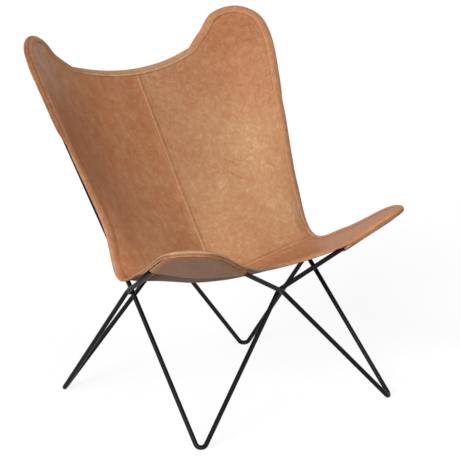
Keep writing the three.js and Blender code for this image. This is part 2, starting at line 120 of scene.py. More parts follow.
def new_finish(name):
    """A material with its node tree, its shader and its object coordinates."""
    material = bpy.data.materials.new(name)
    material.use_nodes = True
    tree = material.node_tree
    place = add_node(tree, "ShaderNodeTexCoord", {}).node.outputs["Object"]
    return material, tree, tree.nodes["Principled BSDF"], place


# Settings that the finishes share, and the numbers of a colour mix's inputs
SOFT = {"interpolation_type": "SMOOTHSTEP"}
COLOURS = {"data_type": "RGBA"}
FACTOR, FIRST, SECOND = 0, 6, 7
print("one function adds every node")

# %% [markdown]
# ## Black powder coat
#
# The rods are sprayed with dry paint powder and baked. That leaves a satin black film with a faint orange
# peel, a little paler and rougher where hands rub it, and worn to a brownish tone right under the feet.

# %% Powder coat for the rods
PAINT_CLOUDS, ORANGE_PEEL, PEEL_DEPTH = 60, 1.6, 0.1
WEAR_STARTS, WEAR_FULL = 10, 2


def powder_coat():
    """Baked powder gives the eye a deep black with soft broad lights, and scuffs where it meets the floor."""
    material, tree, shader, place = new_finish("satin_black_powder_coat")
    clouds = add_node(tree, "ShaderNodeTexNoise",
                      {"Vector": place, "Scale": per_size(PAINT_CLOUDS), "Detail": 4.0})
    handled = add_node(tree, "ShaderNodeMapRange", {0: clouds, 1: 0.35, 2: 0.7}, **SOFT)
    coat = add_node(tree, "ShaderNodeMix",
                    {FACTOR: handled, FIRST: linear("#0c0c0d"), SECOND: linear("#141315")}, **COLOURS)
    height = add_node(tree, "ShaderNodeSeparateXYZ", {"Vector": place}).node.outputs["Z"]
    near_floor = add_node(tree, "ShaderNodeMapRange",
                          {0: height, 1: WEAR_STARTS * MM, 2: WEAR_FULL * MM}, **SOFT)
    worn = add_node(tree, "ShaderNodeMix",
                    {FACTOR: near_floor, FIRST: coat, SECOND: linear("#3b2c24")}, **COLOURS)
    rubbed = add_node(tree, "ShaderNodeMapRange", {0: clouds, 3: 0.28, 4: 0.42})
    peel = add_node(tree, "ShaderNodeTexNoise",
                    {"Vector": place, "Scale": per_size(ORANGE_PEEL), "Detail": 2.0})
    skin = add_node(tree, "ShaderNodeBump",
                    {"Strength": 0.12, "Distance": PEEL_DEPTH * MM, "Height": peel})
    feed(tree, shader, {
        "Base Color": worn, "Roughness": rubbed, "Normal": skin, "IOR": 1.5, "Specular IOR Level": 0.12,
    })
    return material


POWDER_COAT = powder_coat()
print("finish:", POWDER_COAT.name)

# %% [markdown]
# ## Sizes of the frame
#
# These are the CAD model's sizes in millimetres. The frame is two closed rods. Each runs from the front
# crossing over a front ear, the near side crossing, a rear foot, the rear crossing, the opposite back ear,
# the far side crossing and a front foot back to its start. Corners are rounded by bends.

# %% Sizes and crossings of the rods
ORIGIN_BACK = 51
ROD_RADIUS = 6
FRONT_FOOT_HALF_SPAN, FRONT_FOOT_FORWARD = 320, 298
REAR_FOOT_HALF_SPAN, REAR_FOOT_BACK = 312, 298
FOOT_BEND_RADIUS, FOOT_FLAT_DEPTH = 14, 0.8
CROSSING_HEIGHT, CROSSING_BEND_RADIUS, CROSSING_SPREAD = 329, 30, 6.65
FRONT_CROSSING_FORWARD, REAR_CROSSING_BACK = 217, 241
SIDE_CROSSING_HALF_SPAN, SIDE_CROSSING_BACK = 294, 18
FRONT_EAR_HALF_SPAN, FRONT_EAR_FORWARD, FRONT_EAR_HEIGHT, FRONT_EAR_RADIUS = 381, 323, 532, 59
BACK_EAR_HALF_SPAN, BACK_EAR_BACK, BACK_EAR_HEIGHT, BACK_EAR_RADIUS = 444, 512, 1249, 79
SIDE_NAMES = {1: "left", -1: "right"}


def point(x, back, z):
    """A point from its distance behind the middle of the feet."""
    return np.array([x, back - ORIGIN_BACK, z], float)


def unit(vector):
    """The same direction at a length of 1."""
    return vector / np.linalg.norm(vector, axis=-1, keepdims=True)


# At a crossing, out is 1 for the rod that passes outside, -1 for the inner one and 0 between them
def front_crossing(out):
    return point(0, -FRONT_CROSSING_FORWARD - out * CROSSING_SPREAD, CROSSING_HEIGHT)


def rear_crossing(out):
    return point(0, REAR_CROSSING_BACK + out * CROSSING_SPREAD, CROSSING_HEIGHT)


def side_crossing(side, out):
    half_span = SIDE_CROSSING_HALF_SPAN + out * CROSSING_SPREAD
    return point(side * half_span, SIDE_CROSSING_BACK, CROSSING_HEIGHT)


print("rods of", 2 * ROD_RADIUS, "mm cross at a height of", CROSSING_HEIGHT, "mm")

# %% Bends of both rods
FOOT_ROUNDS = 4


class Bend:
    """A round bend between two straight runs of rod."""

    def __init__(self, before, corner, after, radius):
        inward, outward = unit(before - corner), unit(after - corner)
        self.half_angle = math.acos(inward @ outward) / 2
        self.sweep = math.pi - 2 * self.half_angle
        self.to_centre, self.travel = unit(inward + outward), unit(outward - inward)
        self.axis = np.cross(self.travel, self.to_centre)
        self.centre = corner + self.to_centre * radius / math.sin(self.half_angle)
        self.radius = radius
        self.start, self.end = self.at(-self.sweep / 2), self.at(self.sweep / 2)

    def at(self, angle):
        """The rod's middle at an angle from the middle of the bend."""
        around = self.travel * math.sin(angle) - self.to_centre * math.cos(angle)
        return self.centre + around * self.radius


def foot_corner(x, back, before, after):
    """The corner of a foot whose bend dips below the floor by the depth of its flat, found in rounds."""
    corner = point(x, back, 0)
    for _ in range(FOOT_ROUNDS):
        bend = Bend(before, corner, after, FOOT_BEND_RADIUS)
        drop = FOOT_BEND_RADIUS * math.hypot(bend.to_centre[2], bend.travel[2])
        corner[2] += ROD_RADIUS - FOOT_FLAT_DEPTH - (bend.centre[2] - drop)
    return corner


def rod_bends(side, out):
    """The bends of the rod whose front ear is on the given side, in order."""
    front, rear = front_crossing(out), rear_crossing(out)
    near, far = side_crossing(side, 1), side_crossing(-side, -1)
    front_ear = point(side * FRONT_EAR_HALF_SPAN, -FRONT_EAR_FORWARD, FRONT_EAR_HEIGHT)
    back_ear = point(-side * BACK_EAR_HALF_SPAN, BACK_EAR_BACK, BACK_EAR_HEIGHT)
    rear_foot = foot_corner(side * REAR_FOOT_HALF_SPAN, REAR_FOOT_BACK, near, rear)
    front_foot = foot_corner(-side * FRONT_FOOT_HALF_SPAN, -FRONT_FOOT_FORWARD, far, front)
    corners = {
        "front": (front, CROSSING_BEND_RADIUS),
        "front_ear": (front_ear, FRONT_EAR_RADIUS),
        "near": (near, CROSSING_BEND_RADIUS),
        "rear_foot": (rear_foot, FOOT_BEND_RADIUS),
        "rear": (rear, CROSSING_BEND_RADIUS),
        "back_ear": (back_ear, BACK_EAR_RADIUS),
        "far": (far, CROSSING_BEND_RADIUS),
        "front_foot": (front_foot, FOOT_BEND_RADIUS),
    }
    places = [corner for corner, _ in corners.values()]
    after = places[1:] + places[:1]
    return {
        name: Bend(places[i - 1], corner, after[i], radius)
        for i, (name, (corner, radius)) in enumerate(corners.items())
    }


# The rod with the right front ear passes outside at the front and at the rear
rods = {side: rod_bends(side, out) for side, out in ((-1, 1), (1, -1))}
for side, bends in rods.items():
    sweeps = ", ".join(f"{name} {math.degrees(bend.sweep):.0f} deg" for name, bend in bends.items())
    print(SIDE_NAMES[side], "rod:", sweeps)

# %% [markdown]
# ## Rods
#
# A rod is bent from one straight length on a bending machine. It could be a curve with a round bevel, but a
# ring of points that is extruded along each straight and spun round each bend goes through the same steps as
# the machine, and every bend keeps its true radius. The last straight is bridged to the first ring.

# %% Bend both rods
ROD_SIDES = 24
STEPS_BY_RADIUS = {CROSSING_BEND_RADIUS: 6, FOOT_BEND_RADIUS: 14, FRONT_EAR_RADIUS: 22, BACK_EAR_RADIUS: 22}
SMALL_TURN = 0.001


def start_edit(name):
    """Names the new object and opens it with everything selected."""
    bpy.context.object.name = name
    bpy.ops.object.mode_set(mode="EDIT")
    bpy.ops.mesh.select_all(action="SELECT")


def end_edit(smooth_angle):
    """Turns the faces outwards, puts the object at the origin and smooths it."""
    bpy.ops.mesh.select_all(action="SELECT")
    bpy.ops.mesh.normals_make_consistent(inside=False)
    bpy.ops.object.mode_set(mode="OBJECT")
    bpy.ops.object.transform_apply(location=True, rotation=True, scale=True)
    bpy.ops.object.shade_smooth_by_angle(angle=math.radians(smooth_angle))
    return bpy.context.object


def bent_rod(name, bends):
    """A closed rod that starts as a ring of points where its first bend starts, cut flat at the floor."""
    first = bends[0]
    heading = Vector(first.at(SMALL_TURN - first.sweep / 2) - first.start)
    bpy.ops.object.select_all(action="DESELECT")
    bpy.ops.mesh.primitive_circle_add(
        vertices=ROD_SIDES, radius=ROD_RADIUS * MM, location=first.start * MM,
        rotation=heading.to_track_quat("Z", "Y").to_euler(),
    )
    start_edit(name)
    for bend, ahead in zip(bends, bends[1:] + [None]):
        bpy.ops.mesh.spin(
            steps=STEPS_BY_RADIUS[bend.radius], angle=-bend.sweep, center=bend.centre * MM, axis=bend.axis,
        )
        if ahead:
            straight = Vector((ahead.start - bend.end) * MM)
            bpy.ops.mesh.extrude_region_move(TRANSFORM_OT_translate={"value": straight})
    bpy.ops.mesh.select_all(action="DESELECT")
    bpy.ops.mesh.select_non_manifold()
    bpy.ops.mesh.bridge_edge_loops()
    bpy.ops.mesh.select_all(action="SELECT")
    bpy.ops.mesh.bisect(plane_co=(0, 0, 0), plane_no=(0, 0, 1), use_fill=True, clear_inner=True)
    return end_edit(smooth_angle=40)


for side, bends in rods.items():
    here, there = SIDE_NAMES[side], SIDE_NAMES[-side]
    rod = bent_rod(f"rod_with_{here}_front_ear", list(bends.values()))
    rod.data.materials.append(POWDER_COAT)
    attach(rod, "root")
    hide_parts(f"ear_hoop_front_{here}", f"leg_rear_{here}",
                f"ear_hoop_back_{there}", f"leg_front_{there}")
    lowest = min(corner.co.z for corner in rod.data.vertices)
    print(rod.name, len(rod.data.polygons), "faces, lowest", round(lowest, 5))

# %% [markdown]
# ## Welds
#
# Where two rods touch, a welder runs a short bead into the corner between them, and the paint covers it. A
# ball squeezed between the rods is the right start, and a little cloud displacement gives the uneven skin
# that a hand-run bead keeps under paint.

# %% Run a bead at each crossing
WELD_REACH, WELD_SQUEEZE = 10, 6.4
WELD_UNEVEN, WELD_RIPPLE_SIZE = 0.9, 5
bead_clouds = bpy.data.textures.new("bead_clouds", "CLOUDS")
bead_clouds.noise_scale = WELD_RIPPLE_SIZE * MM


def weld_bead(name, centre, thin_axis):
    """A bead that is squeezed along one axis, between the rods."""
    reach = [WELD_REACH * MM] * 3
    reach[thin_axis] = WELD_SQUEEZE * MM
    bpy.ops.object.select_all(action="DESELECT")
    bpy.ops.mesh.primitive_uv_sphere_add(
        segments=32, ring_count=20, radius=1, location=centre * MM, scale=reach,
    )
    start_edit(name)
    bead = end_edit(smooth_angle=60)
    ripple = bead.modifiers.new("ripple", "DISPLACE")
    ripple.texture = bead_clouds
    ripple.strength = WELD_UNEVEN * MM
    bpy.ops.object.modifier_apply(modifier="ripple")
    bead.data.materials.append(POWDER_COAT)
    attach(bead, "root")
    return bead


for name, centre, thin_axis in (
    ("front", front_crossing(0), 1), ("rear", rear_crossing(0), 1),
    ("right", side_crossing(-1, 0), 0), ("left", side_crossing(1, 0), 0),
):
    bead = weld_bead(f"bead_{name}", centre, thin_axis)
    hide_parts(f"weld_{name}")
    print(bead.name, "at", (centre * MM).round(3))

# %% [markdown]
# ## Shape of the sling
#
# A sling keeps no shape of its own: its edge follows the rods of the four ears, and between them it hangs in
# a saddle. So the surface is a formula. One smooth line runs round the ears, four edges are cut from it at
# the ear tips, and the sheet between the edges is pulled to the profile of its middle. The seat sags beside
# its edges, and the end of each back pocket pulls a small kink into the top edge.

# %% Places beside the ears
ears = {}
for side, bends in rods.items():
    ears["front", side] = bends["front_ear"]
    ears["back", -side] = bends["back_ear"]


def ear_axes(bend):
    """Directions to the ear's tip, out to its side rod and up towards the sitter."""
    to_tip = -bend.to_centre
    up = np.cross(to_tip, bend.travel)
    return to_tip, bend.travel, up if up[2] > 0 else -up


def beside_bend(bend, angle, reach, lift):
    """A place round an ear: reach is measured out from the rod's middle, lift towards the sitter."""
    to_tip, outward, up = ear_axes(bend)
    around = to_tip * math.cos(angle) + outward * math.sin(angle)
    return bend.centre + around * (bend.radius + reach) + up * lift


def beside_rod(bend, rod_side, distance, reach, lift):
    """A place down one of the ear's straight rods: +1 is the outer rod and -1 the inner one."""
    to_tip, outward, _ = ear_axes(bend)
    shoulder = rod_side * bend.sweep / 2
    along = outward * rod_side * math.sin(bend.half_angle) - to_tip * math.cos(bend.half_angle)
    return beside_bend(bend, shoulder, reach, lift) + along * distance


print("ears:", ", ".join(f"{end} {SIDE_NAMES[side]}" for end, side in ears))

# %% Smooth lines and their lengths
SAMPLES_PER_SPAN = 60


def smooth_line(points, closed=False):
    """A centripetal rounded line through points, as many close points."""
    points = np.asarray(points)
    if closed:
        points = np.vstack([points[-1], points, points[0], points[1]])
    else:
        points = np.vstack([2 * points[0] - points[1], points, 2 * points[-1] - points[-2]])
    share = np.linspace(0, 1, SAMPLES_PER_SPAN, endpoint=False)[:, None]
    spans = []
    for a, b, c, d in zip(points, points[1:], points[2:], points[3:]):
        ab, bc, cd = (math.sqrt(np.linalg.norm(q - p)) for p, q in ((a, b), (b, c), (c, d)))
        leave = ((b - a) / ab - (c - a) / (ab + bc)) * bc + (c - b)
        arrive = ((d - c) / cd - (d - b) / (bc + cd)) * bc + (c - b)
        turn = 3 * (c - b) - 2 * leave - arrive
        spans.append(b + leave * share + turn * share ** 2 + (2 * (b - c) + leave + arrive) * share ** 3)
    return np.vstack(spans + [points[-2:-1]])


def steps_of(line):
    """Distances between the neighbouring points of a line."""
    return np.linalg.norm(np.diff(line, axis=0), axis=1)


def length_of(line):
    """Length of a line from its first point to its last."""
    return steps_of(line).sum()


def run_of(line):
    """Distance of each point from the line's start."""
    return np.concatenate([[0], np.cumsum(steps_of(line))])


def at_distances(values, run, distances):
    """Values that go with the points of a line, read at distances from its start."""
    return np.stack([np.interp(distances, run, column) for column in values.T], axis=-1)


def on_line(line, share):
    """Points at shares of a line's length."""
    run = run_of(line)
    return at_distances(line, run, share * run[-1])


print("a smooth line has", SAMPLES_PER_SPAN, "points to a span")

# %% Edge of the sling round the ears
LEATHER = 2.6
SLING_CLEARANCE = 0.6
SLING_ABOVE_ROD = ROD_RADIUS + SLING_CLEARANCE + LEATHER / 2
PANEL_PAST_ROD = 5
EAR_EASE = 3.5
EAR_SHARES = (-1, -0.5, 0, 0.5, 1)
SIDE_DIP_OUT, SIDE_DIP_ABOVE_CROSSING = 21, 41
# Distances down the back ears' outer rods, each with its share of the ease
BACK_EDGE_HOLDS = ((205, 1), (430, 2))
FRONT_EDGE_OUTER_HOLD, FRONT_EDGE_INNER_HOLD = 150, 130
# Points of the sling's middle: distance behind the middle of the feet and height above the crossings
CENTRE_PROFILE = ((381, 462), (267, 290), (127, 85), (70, 15), (15, -15), (-50, -3), (-188, 56))
# A point of the top edge beside each back ear: its distance from the middle, and then as above
TOP_EDGE_BESIDE_EAR = (160, 384, 485)


def half_outline(side):
    """Edge points on one side, from beside the middle of the top edge to beside that of the front edge."""
    back, front = ears["back", side], ears["front", side]

    def lifted(ease):
        return PANEL_PAST_ROD, SLING_ABOVE_ROD + EAR_EASE * ease

    def round_tip(ear, shares):
        return [beside_bend(ear, share * ear.sweep / 2, *lifted(share ** 2)) for share in shares]

    out, back_of_feet, above = TOP_EDGE_BESIDE_EAR
    return [
        point(side * out, back_of_feet, CROSSING_HEIGHT + above),
        *round_tip(back, EAR_SHARES),
        *(beside_rod(back, 1, hold, *lifted(ease)) for hold, ease in BACK_EDGE_HOLDS),
        side_crossing(side, 0) + (side * SIDE_DIP_OUT, 0, SIDE_DIP_ABOVE_CROSSING),
        beside_rod(front, 1, FRONT_EDGE_OUTER_HOLD, *lifted(1)),
        *round_tip(front, EAR_SHARES[::-1]),
        beside_rod(front, -1, FRONT_EDGE_INNER_HOLD, *lifted(1)),
    ]


centre_points = [point(0, back, CROSSING_HEIGHT + above) for back, above in CENTRE_PROFILE]
left_half, right_half = half_outline(1), half_outline(-1)
outline_points = [centre_points[0], *left_half, centre_points[-1], *right_half[::-1]]
outline = smooth_line(outline_points, closed=True)[:-1]
centre_line = smooth_line(centre_points)
# Which of the outline's points are the left ear tips
BACK_TIP, FRONT_TIP = 4, 13


def between_tips(start, end):
    """The part of the outline between two of its points."""
    steps = np.arange(start * SAMPLES_PER_SPAN, end * SAMPLES_PER_SPAN + 1)
    return outline[steps % len(outline)]


count = len(outline_points)
top_edge = between_tips(-BACK_TIP, BACK_TIP)
front_edge = between_tips(FRONT_TIP, count - FRONT_TIP)[::-1]
left_edge = between_tips(BACK_TIP, FRONT_TIP)
right_edge = between_tips(count - FRONT_TIP, count - BACK_TIP)[::-1]
print("edges in mm: top %.0f, front %.0f, left %.0f, right %.0f" % tuple(
    length_of(edge) for edge in (top_edge, front_edge, left_edge, right_edge)))

# %% Sheet between the edges
TOP_FADE_END, FRONT_FADE_START = 0.75, 0.25


def smoothstep(value, low, high):
    """0 at low and 1 at high, with a soft change between them and none past them."""
    share = np.clip((value - low) / (high - low), 0, 1)
    return share * share * (3 - 2 * share)


def in_middle(across):
    """1 in the middle of the sling and 0 at its sides."""
    return 4 * across * (1 - across)


def between_edges(across, along):
    """The sheet before its middle is pulled: across runs from the sitter's right, along from the top."""
    side = across[..., None]
    top_bow = on_line(top_edge, across) - (top_edge[0] * (1 - side) + top_edge[-1] * side)
    front_bow = on_line(front_edge, across) - (front_edge[0] * (1 - side) + front_edge[-1] * side)
    top_share = 1 - smoothstep(along, 0, TOP_FADE_END)[..., None]
    front_share = smoothstep(along, FRONT_FADE_START, 1)[..., None]
    straight = on_line(right_edge, along) * (1 - side) + on_line(left_edge, along) * side
    return straight + top_bow * top_share + front_bow * front_share


centre = np.array(0.5)
print("before it is pulled, the sheet's centre is %.0f mm high" % between_edges(centre, centre)[2])

# %% Pull the sheet to its hanging shape
FLANK_SAG, FLANK_SAG_RANGE = 13, (0.45, 0.7, 0.75, 1)
# Kink of the top edge: depth in mm, and the rest as shares of the sling's width and length
KINK_DEPTH, KINK_AT, KINK_REACH, KINK_ROUND, KINK_FADE = 8, 0.228, 0.03, 0.006, 0.12
DOWN_THE_BACK = (0, -0.55, -0.83)
NORMAL_STEP = 0.02
EDGE_SAMPLES = 300


def flank_sag(across, along):
    """Drop of the seat beside its edges, as a vector; 27 / 4 brings its largest share to 1."""
    start, full, fade, end = FLANK_SAG_RANGE
    off_middle = (2 * across - 1) ** 2
    beside_edge = 27 / 4 * (1 - off_middle) * off_middle ** 2
    drop = FLANK_SAG * beside_edge * smoothstep(along, start, full) * (1 - smoothstep(along, fade, end))
    return drop[..., None] * (0, 0, -1)


def edge_kink(across, along):
    """Pull on the top edge where the pocket of each back ear ends, as a vector."""
    beside = np.hypot(np.minimum(across, 1 - across) - KINK_AT, KINK_ROUND)
    pull = KINK_DEPTH * np.exp(-beside / KINK_REACH) * (1 - smoothstep(along, 0, KINK_FADE))
    return pull[..., None] * DOWN_THE_BACK


def sling_point(across, along):
    """Places on the hanging sling in mm, from their shares of its width and length."""
    across, along = np.broadcast_arrays(np.asarray(across, float), np.asarray(along, float))
    pull = on_line(centre_line, along) - between_edges(np.full_like(along, 0.5), along)
    hung = between_edges(across, along) + pull * in_middle(across)[..., None]
    return hung + flank_sag(across, along) + edge_kink(across, along)


def sling_normal(across, along):
    """Direction out of the sling towards the sitter."""
    across, along = np.broadcast_arrays(np.asarray(across, float), np.asarray(along, float))
    right, left = np.clip(across - NORMAL_STEP, 0, 1), np.clip(across + NORMAL_STEP, 0, 1)
    above, below = np.clip(along - NORMAL_STEP, 0, 1), np.clip(along + NORMAL_STEP, 0, 1)
    to_left = sling_point(left, along) - sling_point(right, along)
    to_front = sling_point(across, below) - sling_point(across, above)
    return unit(np.cross(to_front, to_left))


middle = sling_point(0.5, np.linspace(0, 1, EDGE_SAMPLES))
print("middle of the sling is %.0f mm long and dips to %.0f mm" % (length_of(middle), middle[:, 2].min()))

# %% [markdown]
# ## Leather
#
# The sling is thick vegetable-tanned hide, drum dyed tan and waxed. Every place lies somewhere between dark,
# where wax is thick or the hide was pressed, and pale, where it was pulled or rubbed, so one ramp of colours
# holds them all. Clouds, patches, fibres and faint veins add up to the place on the ramp, and so does an
# attribute of the sheet named tone, for what belongs to one spot; that tone also carries painted shade and
# painted highlights. A reddish blush comes and goes all over, and a second attribute, warmth, turns parts of
# the hide more orange, partly as painted warm bounce light in their shade. Fibres and pores are finer than a
# pixel of the photograph, so they are drawn several times as coarse as real.

# %% Waxed leather
HIDE_RAMP = ((0.0, "#6e4631"), (0.3, "#a66b43"), (0.5, "#b7805a"), (0.7, "#c3966c"), (1.0, "#e4bf9b"))
HIDE_BLUSH, HIDE_WARM = "#b46f50", "#ba6f40"
# Size in mm, detail and roughness of each pattern
HIDE_PATTERNS = {
    "clouds": (110, 3.0, 0.5), "patches": (15, 5.0, 0.65), "fibres": (6, 3.0, 0.55),
    "winding": (20, 3.0, 0.5), "blush": (26, 4.0, 0.6), "pores": (3, 3.0, 0.5),
}
# Usual value of each pattern, and how far it moves the place on the ramp
HIDE_WEIGHTS = {"clouds": (0.5, 0.3), "patches": (0.5, 0.5), "fibres": (0.5, 0.3), "veins": (0.1, 0.1)}
DRIFT_SIZE, DRIFT_REACH = 60, 0.04
FIBRE_STRETCH = (1.0, 1.0, 0.3)
GRAIN_DEPTH = 0.8


def waxed_leather():
    """Dye and wax give the eye a mottled tan with a low sheen; the tone adds wear and painted light and
    shade.
    """
    material, tree, shader, place = new_finish("waxed_vegetable_tanned_leather")
    drift = add_node(tree, "ShaderNodeTexNoise",
                     {"Vector": place, "Scale": per_size(DRIFT_SIZE), "Detail": 2.0})
    drift = drift.node.outputs["Color"]
    drift = add_node(tree, "ShaderNodeVectorMath",
                     {0: drift, 1: (DRIFT_REACH,) * 3, 2: place}, operation="MULTIPLY_ADD")
    drawn_out = add_node(tree, "ShaderNodeVectorMath", {0: drift, 1: FIBRE_STRETCH}, operation="MULTIPLY")
    patterns = {}
    for name, (size, detail, roughness) in HIDE_PATTERNS.items():
        patterns[name] = add_node(tree, "ShaderNodeTexNoise", {
            "Vector": drawn_out if name == "fibres" else drift,
            "Scale": per_size(size), "Detail": detail, "Roughness": roughness,
        })
    off_line = add_node(tree, "ShaderNodeMath", {0: patterns["winding"], 1: 0.5}, operation="SUBTRACT")
    off_line = add_node(tree, "ShaderNodeMath", {0: off_line}, operation="ABSOLUTE")
    veins = add_node(tree, "ShaderNodeMapRange", {0: off_line, 1: 0.045, 2: 0.0}, **SOFT)
    broken = add_node(tree, "ShaderNodeMapRange", {0: patterns["patches"], 1: 0.4, 2: 0.6, 3: 0.1}, **SOFT)
    patterns["veins"] = add_node(tree, "ShaderNodeMath", {0: veins, 1: broken}, operation="MULTIPLY")
    tone, warmth = (
        add_node(tree, "ShaderNodeAttribute", {}, attribute_name=name).node.outputs["Fac"]
        for name in ("tone", "warmth")
    )
    shade = add_node(tree, "ShaderNodeMath", {0: tone, 1: 0.5, 2: 0.5}, operation="MULTIPLY_ADD")
    for name, (usual, weight) in HIDE_WEIGHTS.items():
        centred = add_node(tree, "ShaderNodeMath", {0: patterns[name], 1: usual}, operation="SUBTRACT")
        shade = add_node(tree, "ShaderNodeMath", {0: centred, 1: weight, 2: shade}, operation="MULTIPLY_ADD")
    colour = add_node(tree, "ShaderNodeValToRGB", {"Fac": shade})
    stops = colour.node.color_ramp.elements
    for position, _ in HIDE_RAMP[1:-1]:
        stops.new(position)
    for stop, (_, hex_colour) in zip(stops, HIDE_RAMP):
        stop.color = linear(hex_colour)
    blush = add_node(tree, "ShaderNodeMapRange", {0: patterns["blush"], 1: 0.48, 2: 0.68, 4: 0.24}, **SOFT)
    for amount, hex_colour in ((blush, HIDE_BLUSH), (warmth, HIDE_WARM)):
        colour = add_node(tree, "ShaderNodeMix",
                          {FACTOR: amount, FIRST: colour, SECOND: linear(hex_colour)}, **COLOURS)
    polish = add_node(tree, "ShaderNodeMapRange", {0: patterns["patches"], 1: 0.3, 2: 0.7, 3: 0.42, 4: 0.58})
    height = add_node(tree, "ShaderNodeMath",
                      {0: patterns["pores"], 1: 0.35, 2: patterns["fibres"]}, operation="MULTIPLY_ADD")
    skin = add_node(tree, "ShaderNodeBump",
                    {"Strength": 0.35, "Distance": GRAIN_DEPTH * MM, "Height": height})
    feed(tree, shader, {
        "Base Color": colour, "Roughness": polish, "Normal": skin, "IOR": 1.45, "Specular IOR Level": 0.32,
    })
    return material


LEATHER_GRAIN = waxed_leather()
print("finish:", LEATHER_GRAIN.name)

# %% [markdown]
# ## Suede, cut edges and thread
#
# The back of the hide is left as rough suede, and a cut edge shows the paler core that the dye didn't reach.
# The seams are sewn with waxed linen. Its plies are thinner than a pixel, so they are drawn coarser.

# %% Finishes behind, between and on top of the grain
SUEDE_FIBRES, SUEDE_CLOUDS, NAP_DEPTH = 5, 70, 0.6
CORE_FIBRES, THREAD_PLIES = 3, 1.5


def suede():
    """The raw flesh side gives the eye a dull brown nap without lights."""
    material, tree, shader, place = new_finish("suede_flesh_side")
    fibres = add_node(tree, "ShaderNodeTexNoise",
                      {"Vector": place, "Scale": per_size(SUEDE_FIBRES), "Detail": 6.0, "Roughness": 0.7})
    clouds = add_node(tree, "ShaderNodeTexNoise",
                      {"Vector": place, "Scale": per_size(SUEDE_CLOUDS), "Detail": 3.0})
    mixed = add_node(tree, "ShaderNodeMath", {0: fibres, 1: clouds}, operation="MULTIPLY")
    shade = add_node(tree, "ShaderNodeMapRange", {0: mixed, 1: 0.15, 2: 0.36}, **SOFT)
    colour = add_node(tree, "ShaderNodeMix",
                      {FACTOR: shade, FIRST: linear("#865a40"), SECOND: linear("#a07250")}, **COLOURS)
    nap = add_node(tree, "ShaderNodeBump",
                   {"Strength": 0.5, "Distance": NAP_DEPTH * MM, "Height": fibres})
    feed(tree, shader, {"Base Color": colour, "Normal": nap, "Roughness": 0.92, "Sheen Weight": 0.2})
    return material


def fibrous(name, size, detail, dark, pale, roughness):
    """Close fibres give the eye a dull surface of two near shades."""
    material, tree, shader, place = new_finish(name)
    fibres = add_node(tree, "ShaderNodeTexNoise",
                      {"Vector": place, "Scale": per_size(size), "Detail": detail})
    colour = add_node(tree, "ShaderNodeMix",
                      {FACTOR: fibres, FIRST: linear(dark), SECOND: linear(pale)}, **COLOURS)
    feed(tree, shader, {"Base Color": colour, "Roughness": roughness})
    return material


HIDE = (LEATHER_GRAIN, suede(), fibrous("cut_hide_edge", CORE_FIBRES, 4.0, "#b98a63", "#d6ad88", 0.75))
THREAD = fibrous("waxed_linen_thread", THREAD_PLIES, 2.0, "#a47049", "#bf9068", 0.6)
print("finishes:", ", ".join(finish.name for finish in (*HIDE, THREAD)))

# %% [markdown]
# ## Sheets of leather
#
# Each panel is one thick sheet: a grain side, a suede side and a cut edge between them. It could be a flat
# grid with a Solidify modifier, but laps are pared thin and pockets wrap round rods, so both faces are laid
# out as grids of points and joined by a slightly rounded rim, each part with its own material slot.

# %% A sheet from two matching grids
RIM_BULGE = 0.5
GRAIN, SUEDE, CUT_EDGE = 0, 1, 2
MERGE_BELOW = 0.02


def strip(one, other, loop=False):
    """Faces between two matching lines of points."""
    if loop:
        one, other = np.append(one, one[0]), np.append(other, other[0])
    return np.stack([one[:-1], one[1:], other[1:], other[:-1]], axis=-1)


def bulged(line, inside):
    """A line of rim points, a little further out than its sheet."""
    return line + RIM_BULGE * unit(line - inside)


def new_piece(name, points, faces, finishes):
    """A mesh object from points in mm, with its finishes and selected alone."""
    mesh = bpy.data.meshes.new(name)
    mesh.from_pydata((np.vstack(points) * MM).tolist(), [], faces)
    for finish in finishes:
        mesh.materials.append(finish)
    piece = bpy.data.objects.new(name, mesh)
    bpy.context.collection.objects.link(piece)
    bpy.ops.object.select_all(action="DESELECT")
    piece.select_set(True)
    bpy.context.view_layer.objects.active = piece
    return piece


def leather_sheet(name, grain_side, suede_side, tone, warmth=0, loop=False, folded=False):
    """A closed sheet between two grids of points in mm; a loop's last row meets its first.

    The last column of a folded sheet is a fold that meets itself, so it has no rim. The tone of the grain
    side runs from -1, dark, to 1, pale, and its warmth from 0 to 1, orange.
    """
    rows, columns = grain_side.shape[:2]
    middle = (grain_side + suede_side) / 2
    grid = np.arange(rows * columns).reshape(rows, columns)
    behind = grid + grid.size
    points = [grain_side.reshape(-1, 3), suede_side.reshape(-1, 3)]
    rims = []

    def add_rim(front, back, line, inside, closed):
        start = sum(map(len, points))
        points.append(bulged(line, inside))
        between = start + np.arange(len(line))
        rims.extend([strip(front, between, closed), strip(between, back, closed)])

    add_rim(grid[:, 0], behind[:, 0], middle[:, 0], middle[:, 1], loop)
    if not folded:
        add_rim(grid[:, -1], behind[:, -1], middle[:, -1], middle[:, -2], loop)
    if not loop:
        add_rim(grid[0], behind[0], middle[0], middle[1], False)
        add_rim(grid[-1], behind[-1], middle[-1], middle[-2], False)
    front = [strip(grid[:, i], grid[:, i + 1], loop) for i in range(columns - 1)]
    back = [strip(behind[:, i], behind[:, i + 1], loop) for i in range(columns - 1)]
    parts = [np.vstack(part) for part in (front, back, rims)]
    piece = new_piece(name, points, np.vstack(parts).tolist(), HIDE)
    mesh = piece.data
    slots = np.repeat([GRAIN, SUEDE, CUT_EDGE], [len(part) for part in parts])
    mesh.polygons.foreach_set("material_index", slots.astype(np.int32))
    for look, of_grain in (("tone", tone), ("warmth", warmth)):
        values = np.zeros(len(mesh.vertices), np.float32)
        values[:grid.size] = np.broadcast_to(of_grain, grid.shape).ravel()
        mesh.attributes.new(look, "FLOAT", "POINT").data.foreach_set("value", values)
    start_edit(name)
    bpy.ops.mesh.remove_doubles(threshold=MERGE_BELOW * MM)
    bpy.ops.mesh.delete_loose()
    end_edit(smooth_angle=50)
    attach(piece, "root")
    return piece


